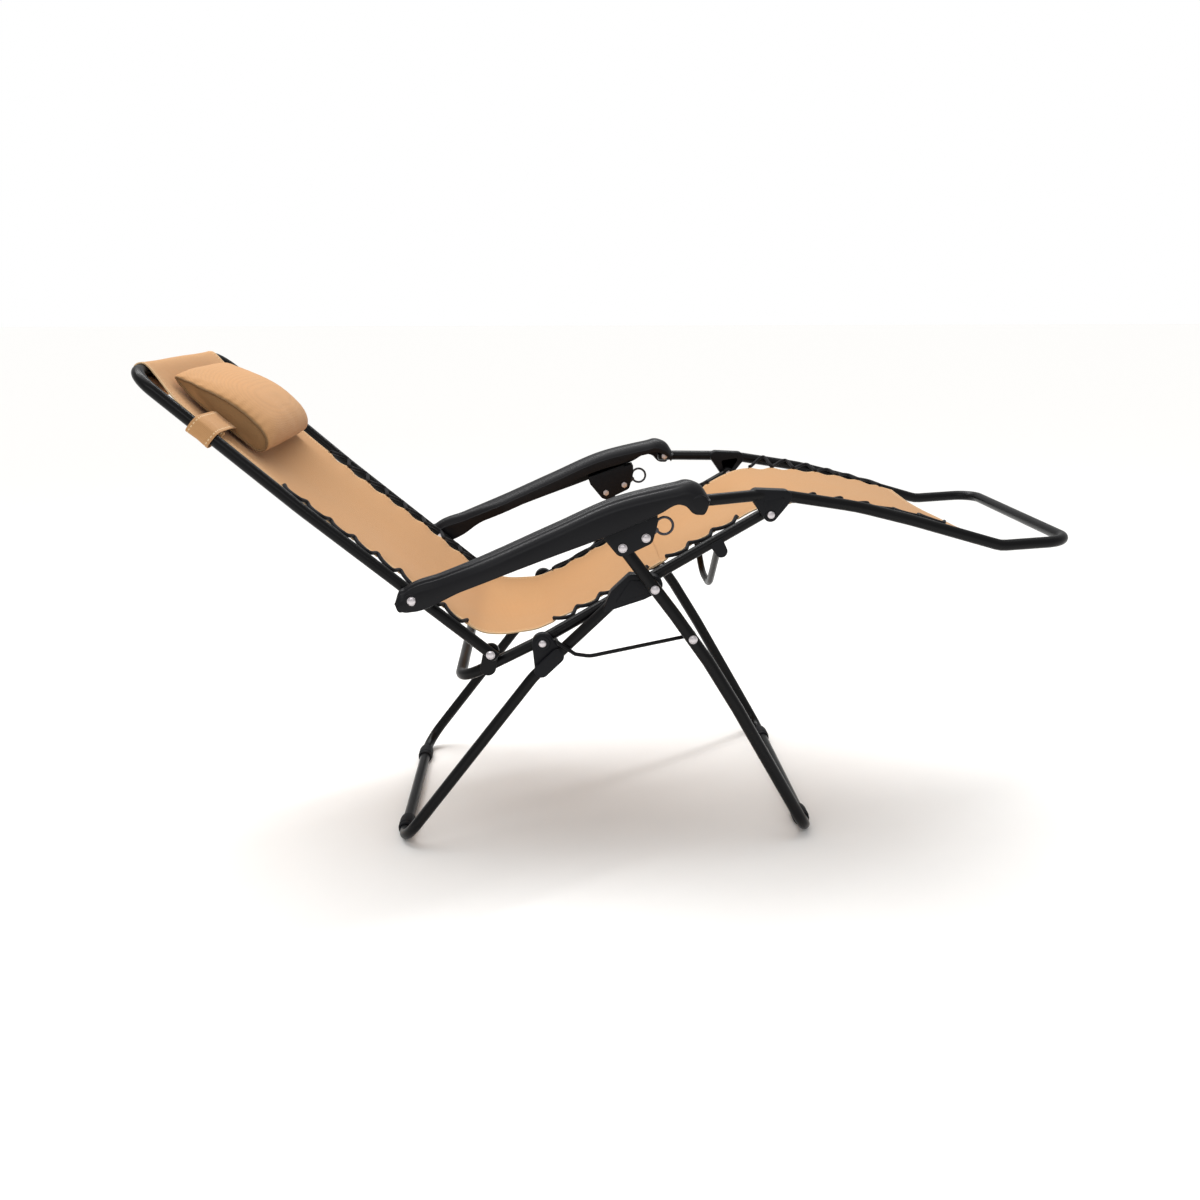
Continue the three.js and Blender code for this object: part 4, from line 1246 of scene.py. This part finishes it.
def stuffed(obj, voxel, cap):
    """The cover blown up by Blender's cloth under pressure, with every point's move held
    under a cap, then written back as plain mesh."""
    scene = bpy.context.scene
    remesh = obj.modifiers.new("voxels", "REMESH")
    remesh.mode, remesh.voxel_size = "VOXEL", voxel * MM
    graph = bpy.context.evaluated_depsgraph_get()
    even = bpy.data.meshes.new_from_object(obj.evaluated_get(graph))
    obj.modifiers.clear()
    obj.data = even
    rest = np.zeros(len(even.vertices) * 3, np.float32)
    even.vertices.foreach_get("co", rest)
    cloth = obj.modifiers.new("pressure", "CLOTH")
    cloth.settings.use_pressure = True
    cloth.settings.uniform_pressure_force = scene.recliner_sizes.pillow_pressure
    cloth.settings.effector_weights.gravity = 0
    cloth.settings.quality = 5
    cloth.settings.mass = 0.3
    cloth.point_cache.frame_start, cloth.point_cache.frame_end = 1, 20
    for number in range(1, 21):
        scene.frame_set(number)
    graph = bpy.context.evaluated_depsgraph_get()
    blown = obj.evaluated_get(graph).to_mesh()
    moved = np.zeros_like(rest)
    blown.vertices.foreach_get("co", moved)
    obj.modifiers.clear()
    scene.frame_set(1)
    step = (moved - rest).reshape(-1, 3)
    size = np.linalg.norm(step, axis=1, keepdims=True)
    step = step * np.minimum(1, cap * MM / np.maximum(size, 1e-9))
    return (rest.reshape(-1, 3) + step) / MM


def build_pillow():
    """The head pillow: stuffed cover, piping round both ends, and a strap to either tube."""
    made = piece("pillow_cover", [shell(pillow_grid())], finish("pillow_mesh"), sharp=180)
    points = stuffed(made, 5.0, 7.0)
    flat = points[:, [0, 2]] - BACK_MID
    along, above = flat @ BACK_ALONG, flat @ BACK_UP
    end = PILLOW_HALF - np.abs(points[:, 1])
    gather = 0.9 * np.sin(TURN * along / 17) * np.exp(-np.maximum(end - 2, 0) / 16)
    gather = gather * ease(end, 0, 5)
    creased = 0.7 * np.sin(points[:, 1] / 13 + along / 29) * ease(along, 250, 140) * 0.5
    above = np.maximum(above + (gather + creased) * ease(above, 8, 24), 2.6)
    points[:, [0, 2]] = on_back(along, above)
    made.data.vertices.foreach_set("co", (points * MM).astype(np.float32).ravel())
    made.data.update()
    made.data.polygons.foreach_set("use_smooth", np.ones(len(made.data.polygons), bool))
    if not made.data.materials:
        made.data.materials.append(finish("pillow_mesh"))
    fine = made.modifiers.new("fine", "SUBSURF")
    fine.levels = fine.render_levels = 1
    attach(made, "pillow")
    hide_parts("head_pillow")

    graph = bpy.context.evaluated_depsgraph_get()
    tree = BVHTree.FromObject(made, graph)
    grid = pillow_grid()
    shells = []
    for row in (grid[0], grid[-1]):
        reach = np.array([0, np.sign(row[0, 1]) * 6, 0])
        hits = [tree.find_nearest(Vector((p + reach) * MM)) for p in row]
        route = np.array([tuple(h[0] + h[1] * 0.0006) for h in hits]) / MM
        route = smooth_line(np.concatenate([route, route[:1]]), count=120)[0]
        shells.append(tube(route, 4.2, (0, 1, 0.02), 10))
    piece("pillow_piping", shells, finish("pillow_piping"), "pillow")
    build_straps()


def build_straps():
    """A flat strap from each end of the pillow round the back's tube: an 8-point rounded band
    section carried along the loop."""
    width = 46.0
    route = [
        (PILLOW_HALF - 8, 16), (PILLOW_HALF + 14, 17), (212, 16.5), (238, 17.5), (BACK_HALF, 17),
        (BACK_HALF + 12, 12), (BACK_HALF + 15, 0), (BACK_HALF + 12, -12), (BACK_HALF + 2, -16.5),
        (BACK_HALF - 12, -14), (BACK_HALF - 17.5, -3), (BACK_HALF - 19, 7), (BACK_HALF - 25, 13.5),
    ]  # fmt: skip
    line, run = smooth_line(route, count=90)
    way = unit(np.gradient(line, run, axis=0))
    out = np.stack([-way[:, 1], way[:, 0]], -1)
    w = np.array([-1, -0.97, 0, 0.97, 1, 0.97, 0, -0.97]) * width / 2
    t = np.array([0, 1, 1, 1, 0, -1, -1, -1]) * 1.1
    curl = 1.6 * (w / (width / 2)) ** 4 * np.sin(run / 19)[:, None]
    y = line[:, 0:1] + out[:, 0:1] * (t + curl)
    above = line[:, 1:2] + out[:, 1:2] * (t + curl)
    centre = PILLOW_LOW + STRAP_AT
    skew = 5.0 * np.sin(run / run[-1] * math.pi)[:, None]
    along = centre + w[None] + skew
    grid = three(on_back(along, above), y)
    across = np.append(w, w[0])
    edge = width / 2 - np.abs(across) + 7.5
    uv = np.stack(np.broadcast_arrays(run[:, None], across, edge), -1)
    pair("pillow_strap", [shell(grid, uv=uv)], finish("sling_mesh"), "pillow")


# ---- stage -----------------------------------------------------------------------------------
FLOOR_UNDER = -0.05  # so that the feet and the floor do not share a plane


def build_stage():
    """Pale floor, white surround, two soft boxes and the camera."""
    sizes = bpy.context.scene.recliner_sizes
    colours = bpy.context.scene.recliner_colours
    reach = np.linspace(-40, 40, 9) / MM
    grid = np.stack([*np.meshgrid(reach, reach), np.full((9, 9), FLOOR_UNDER)], -1)
    square = shell(grid, around=False, caps=False, outward=False)
    piece("floor", [square], finish("pale_matt_floor"), sharp=180)

    world = bpy.data.worlds.new("studio_white")
    bpy.context.scene.world = world
    world.use_nodes = True
    tree = world.node_tree
    back = tree.nodes["Background"]
    back.inputs["Color"].default_value = tuple(colours.surround)
    seen = add_node(tree, "ShaderNodeLightPath").outputs["Is Camera Ray"]
    strength = spread(tree, seen, 0, 1, sizes.surround_light, 1.0)
    tree.links.new(strength, back.inputs["Strength"])

    sky = bpy.data.lights.new("overhead", "SUN")
    sky.energy, sky.angle = sizes.overhead_light, math.radians(60)
    made = bpy.data.objects.new("overhead", sky)
    made.rotation_euler = (math.radians(-14), math.radians(-10), 0)
    bpy.context.scene.collection.objects.link(made)

    def soft_box(name, place, target, width, height, power):
        light = bpy.data.lights.new(name, "AREA")
        light.shape, light.size, light.size_y = "RECTANGLE", width, height
        light.energy = power
        made = bpy.data.objects.new(name, light)
        made.location = place
        made.rotation_euler = (Vector(target) - Vector(place)).to_track_quat("-Z", "Y").to_euler()
        bpy.context.scene.collection.objects.link(made)

    soft_box("key_box", (-0.5, 0.9, 2.6), (0, 0, 0.5), 3.4, 0.2, sizes.key_light)
    soft_box("side_box", (-0.6, -2.6, 2.3), (-0.1, 0, 0.6), 3.0, 0.14, sizes.side_light)

    lens = bpy.data.cameras.new("camera")
    camera = bpy.data.objects.new("camera", lens)
    lens.sensor_width, lens.lens = 36, sizes.lens
    lens.shift_x, lens.shift_y = -0.0457, -0.0174
    lens.clip_start, lens.clip_end = 0.05, 100
    yaw, pitch = math.radians(5.53), math.radians(14.71)
    level = math.cos(pitch)
    ahead = Vector((math.sin(yaw) * level, math.cos(yaw) * level, -math.sin(pitch)))
    camera.location = (-0.144, -2.217, 1.056)
    camera.rotation_euler = ahead.to_track_quat("-Z", "Y").to_euler()
    bpy.context.scene.collection.objects.link(camera)
    bpy.context.scene.camera = camera
    bpy.context.scene.view_settings.view_transform = "Standard"


# ---- add-on ----------------------------------------------------------------------------------
def length_value(label, text, default, low=0.0, high=1.0):
    """A length that a user may change."""
    return bpy.props.FloatProperty(
        name=label, description=text, default=default, min=low, max=high,
        subtype="DISTANCE", unit="LENGTH", precision=4,
    )  # fmt: skip


def number_value(label, text, default, low, high):
    """A plain number that a user may change."""
    return bpy.props.FloatProperty(
        name=label, description=text, default=default, min=low, max=high
    )


def colour_value(label, text, code):
    """A colour that a user may change, given as sRGB hex."""
    return bpy.props.FloatVectorProperty(
        name=label, description=text, default=linear(code), size=4, min=0, max=1,
        subtype="COLOR",
    )  # fmt: skip


class RECLINER_sizes(bpy.types.PropertyGroup):
    """Sizes and lights of the recliner."""

    casting_edge: length_value("Casting edge", "Rounding along the castings' edges", 0.002)
    cloth_thickness: length_value("Cloth", "Thickness of the sling's doubled hem", 0.0028)
    scallop: length_value("Scallop", "Depth of the edge's curve between eyelets", 0.013)
    sag: length_value("Sag", "How far the empty sling hangs in its middle", 0.012)
    cord: length_value("Cord", "Diameter of the lacing", 0.0076)
    pillow_pressure: number_value("Stuffing", "Pressure that fills the pillow", 0.6, 0, 20)
    lens: number_value("Lens", "Camera's focal length in millimetres", 32.26, 10, 200)
    surround_light: number_value("Surround", "Strength of the surround's light", 0.6, 0, 5)
    overhead_light: number_value("Overhead", "Strength of the soft light from above", 1.65, 0, 20)
    key_light: number_value("Key light", "Power of the overhead soft box in watts", 42, 0, 2000)
    side_light: number_value("Side light", "Power of the side soft box in watts", 16, 0, 2000)


class RECLINER_colours(bpy.types.PropertyGroup):
    """Colours of the recliner."""

    tube: colour_value("Tubes", "Powder coat on the steel tubes", "#060607")
    armrest: colour_value("Armrests", "Moulded armrests", "#0B0B0E")
    bracket: colour_value("Brackets", "Castings, locks and feet", "#08090D")
    bolt: colour_value("Bolts", "Zinc plating", "#D8D2D5")
    wire: colour_value("Rings", "Dark plated steel", "#4A4A50")
    cloth: colour_value("Cloth", "Woven polyester sling and pillow", "#B98D60")
    # Painted highlight on the hem's fold; the same colour is also the real colour of the stitch
    # thread.
    hem: colour_value("Hem", "Fold of the hem and its stitches", "#D3B48C")
    piping: colour_value("Piping", "Cord sewn round the pillow's ends", "#7D6243")
    # Painted shade on the pillow's end panels: the same cloth, darkened where it stands in shade.
    pillow_end_shade: colour_value("Pillow ends", "Darker cloth of the end panels", "#7F6140")
    bungee: colour_value("Bungee", "Jacket of the elastic lacing", "#0E0E10")
    floor: colour_value("Floor", "Matt floor", "#F6F5F3")
    surround: colour_value("Surround", "Studio surround", "#FFFFFF")


def operator(name, label, text, build):
    """An operator class that runs one builder."""

    def execute(self, context):
        build()
        return {"FINISHED"}

    said = {"bl_idname": f"recliner.{name}", "bl_label": label, "__doc__": text}
    return type(f"RECLINER_OT_{name}", (bpy.types.Operator,), {**said, "execute": execute})


STEPS = [
    operator("stage", "Stage", "Floor, surround, lights and camera", build_stage),
    operator("frames", "Tube frames", "Legs, seat, back, footrest, brace and rods", build_frames),
    operator("castings", "Castings", "Heads, brackets, knees, clamps and feet", build_castings),
    operator("locks", "Locks", "Lock housings, pull rings, pawls and strips", build_locks),
    operator("bolts", "Bolts", "Every bolt, washer and nut", build_bolts),
    operator("armrests", "Armrests", "Both moulded armrests", build_armrests),
    operator("sling", "Sling", "Both sheets of the woven sling", build_sling),
    operator("lacing", "Lacing", "Bungee cords and grommets", build_lacing),
    operator("pillow", "Pillow", "Stuffed head pillow with piping and straps", build_pillow),
]


class RECLINER_PT_panel(bpy.types.Panel):
    """Lists the recliner's builders in the sidebar."""

    bl_idname = "RECLINER_PT_panel"
    bl_label = "Recliner"
    bl_space_type = "VIEW_3D"
    bl_region_type = "UI"
    bl_category = "Recliner"

    def draw(self, context):
        for group in (context.scene.recliner_sizes, context.scene.recliner_colours):
            for key in group.bl_rna.properties.keys():
                if key not in ("rna_type", "name"):
                    self.layout.prop(group, key)
        for step in STEPS:
            self.layout.operator(step.bl_idname)


CLASSES = [RECLINER_sizes, RECLINER_colours, *STEPS, RECLINER_PT_panel]


def register():
    """Adds the classes and the scene's properties."""
    for made in CLASSES:
        bpy.utils.register_class(made)
    bpy.types.Scene.recliner_sizes = bpy.props.PointerProperty(type=RECLINER_sizes)
    bpy.types.Scene.recliner_colours = bpy.props.PointerProperty(type=RECLINER_colours)


def unregister():
    """Takes them away again."""
    del bpy.types.Scene.recliner_colours
    del bpy.types.Scene.recliner_sizes
    for made in reversed(CLASSES):
        bpy.utils.unregister_class(made)


def main():
    """Builds everything in order and notes the object's size before and after."""
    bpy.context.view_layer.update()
    register()
    for step in STEPS:
        group, name = step.bl_idname.split(".")
        getattr(getattr(bpy.ops, group), name)()


if __name__ == "__main__":
    main()
